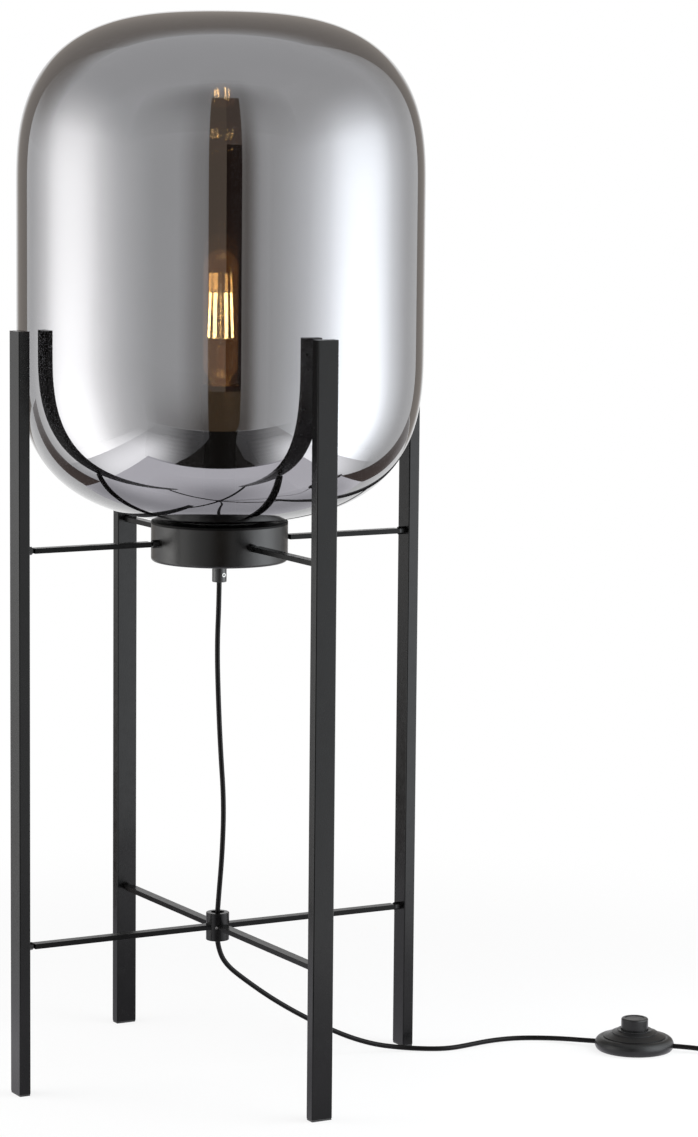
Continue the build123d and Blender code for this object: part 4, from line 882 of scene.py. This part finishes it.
# Painted pool of light: a bright patch of floor that only mirrors and glass see
floor_square("floor_painted_light_pool", (-0.5, 0.38), (LIGHT_POOL_LEFT, LIGHT_POOL_RIGHT), LIGHT_POOL_LIFT, (1.45, 1.42, 1.5))
floor_square(
    # Painted shadow: a dim patch on the floor under the lamp, seen only in mirrors and glass
    "floor_painted_shadow", (-0.3, 0.24), (-0.26, 0.26), PAINTED_SHADOW_LIFT, (0.7, 0.68, 0.73), PAINTED_SHADOW_ACROSS, PAINTED_SHADOW_ALONG,
)
floor_square(
    "floor_behind", (-0.5, -0.02), (-0.6, 0.5), BEHIND_LIFT, (0.6, 0.59, 0.63), BEHIND_ACROSS, BEHIND_ALONG,
)
floor_patch(
    "floor_brown_left", ((-0.474, LIGHT_POOL_LEFT), (-0.2, LIGHT_POOL_LEFT)), ((-1.85, -1.83), (-1.85, -2.35)),
    STRIP_LIFT, BROWN, EVEN, BAND_ALONG,
)
floor_patch(
    "floor_brown_right", ((-0.534, LIGHT_POOL_RIGHT), (-0.127, LIGHT_POOL_RIGHT)), ((-1.95, 0.92), (-1.95, 1.6)),
    STRIP_LIFT, BROWN, EVEN, BAND_ALONG,
)

# Taupe wall behind the lamp: open low down and wide above in mirrors, whole as seen through the glass
WALL_DISTANCE = 2.0
WALL_LEFT = -1.9
WALL_RIGHT = 1.6
WALL_OPEN_HEIGHT = 1.15
WALL_HEIGHT = 4.4
WALL_COLOUR = (0.37, 0.335, 0.305)
WALL_OPEN = [
    (0.0, 1.0), (0.2, 1.0), (0.28, 1.0), (0.33, 0.3), (0.4, 0.0), (0.68, 0.0), (0.74, 0.3), (0.79, 1.0),
    (0.88, 1.0), (1.0, 1.0),
]
WALL_RISE = [(0.0, 1.0), (0.5, 1.0), (0.65, 0.9), (1.0, 0.0)]
WINGS_DISTANCE = 2.05
WINGS_LEFT = -5.0
WINGS_RIGHT = 3.5
WINGS_FOOT = 0.9
WINGS_ACROSS = [
    (0.0, 0.0), (0.1, 0.35), (0.2, 0.6), (0.315, 0.9), (0.365, 1.0), (0.776, 0.6), (0.8, 0.5), (0.88, 0.25),
    (1.0, 0.0),
]
WINGS_RISE = [(0.0, 0.0), (0.1, 0.4), (0.22, 0.95), (0.5, 1.0), (0.65, 0.9), (1.0, 0.0)]


def wall_ends(low, high, left=WALL_LEFT, right=WALL_RIGHT):
    return [(left, right, low), (left, right, high)]


wall_low = standing_sheet("wall_low", -WALL_DISTANCE, wall_ends(0, WALL_OPEN_HEIGHT), WALL_COLOUR, WALL_OPEN)
wall_high = standing_sheet(
    "wall_high", -WALL_DISTANCE, wall_ends(WALL_OPEN_HEIGHT, WALL_HEIGHT), WALL_COLOUR, EVEN, WALL_RISE,
)
wall_wings = standing_sheet(
    "wall_wings", -WINGS_DISTANCE, wall_ends(WINGS_FOOT, WALL_HEIGHT, WINGS_LEFT, WINGS_RIGHT), WALL_COLOUR,
    WINGS_ACROSS, WINGS_RISE,
)
wall_seen_through = standing_sheet(
    "wall_seen_through", -WALL_DISTANCE, wall_ends(0, WALL_HEIGHT), (0.12, 0.105, 0.095), EVEN, WALL_RISE,
)
for wall in (wall_low, wall_high, wall_wings):
    wall.visible_transmission = False
wall_seen_through.visible_glossy = False

# Surroundings: white to the eye, with a softer light on the object
WORLD_LIGHT = 0.6
world = bpy.data.worlds.new("surroundings")
scene.world = world
world.use_nodes = True
world_tree = world.node_tree
world_tree.nodes.clear()
light = add_node(world_tree, "ShaderNodeBackground", Color=(1, 1, 1, 1), Strength=WORLD_LIGHT)
shown = add_node(world_tree, "ShaderNodeBackground", Color=(1, 1, 1, 1), Strength=1.0)
world_mix = mix_shaders(
    world_tree, seen_rays(world_tree), light.outputs["Background"], shown.outputs["Background"],
)
world_out = add_node(world_tree, "ShaderNodeOutputWorld")
join(world_tree, world_mix, world_out.inputs["Surface"])
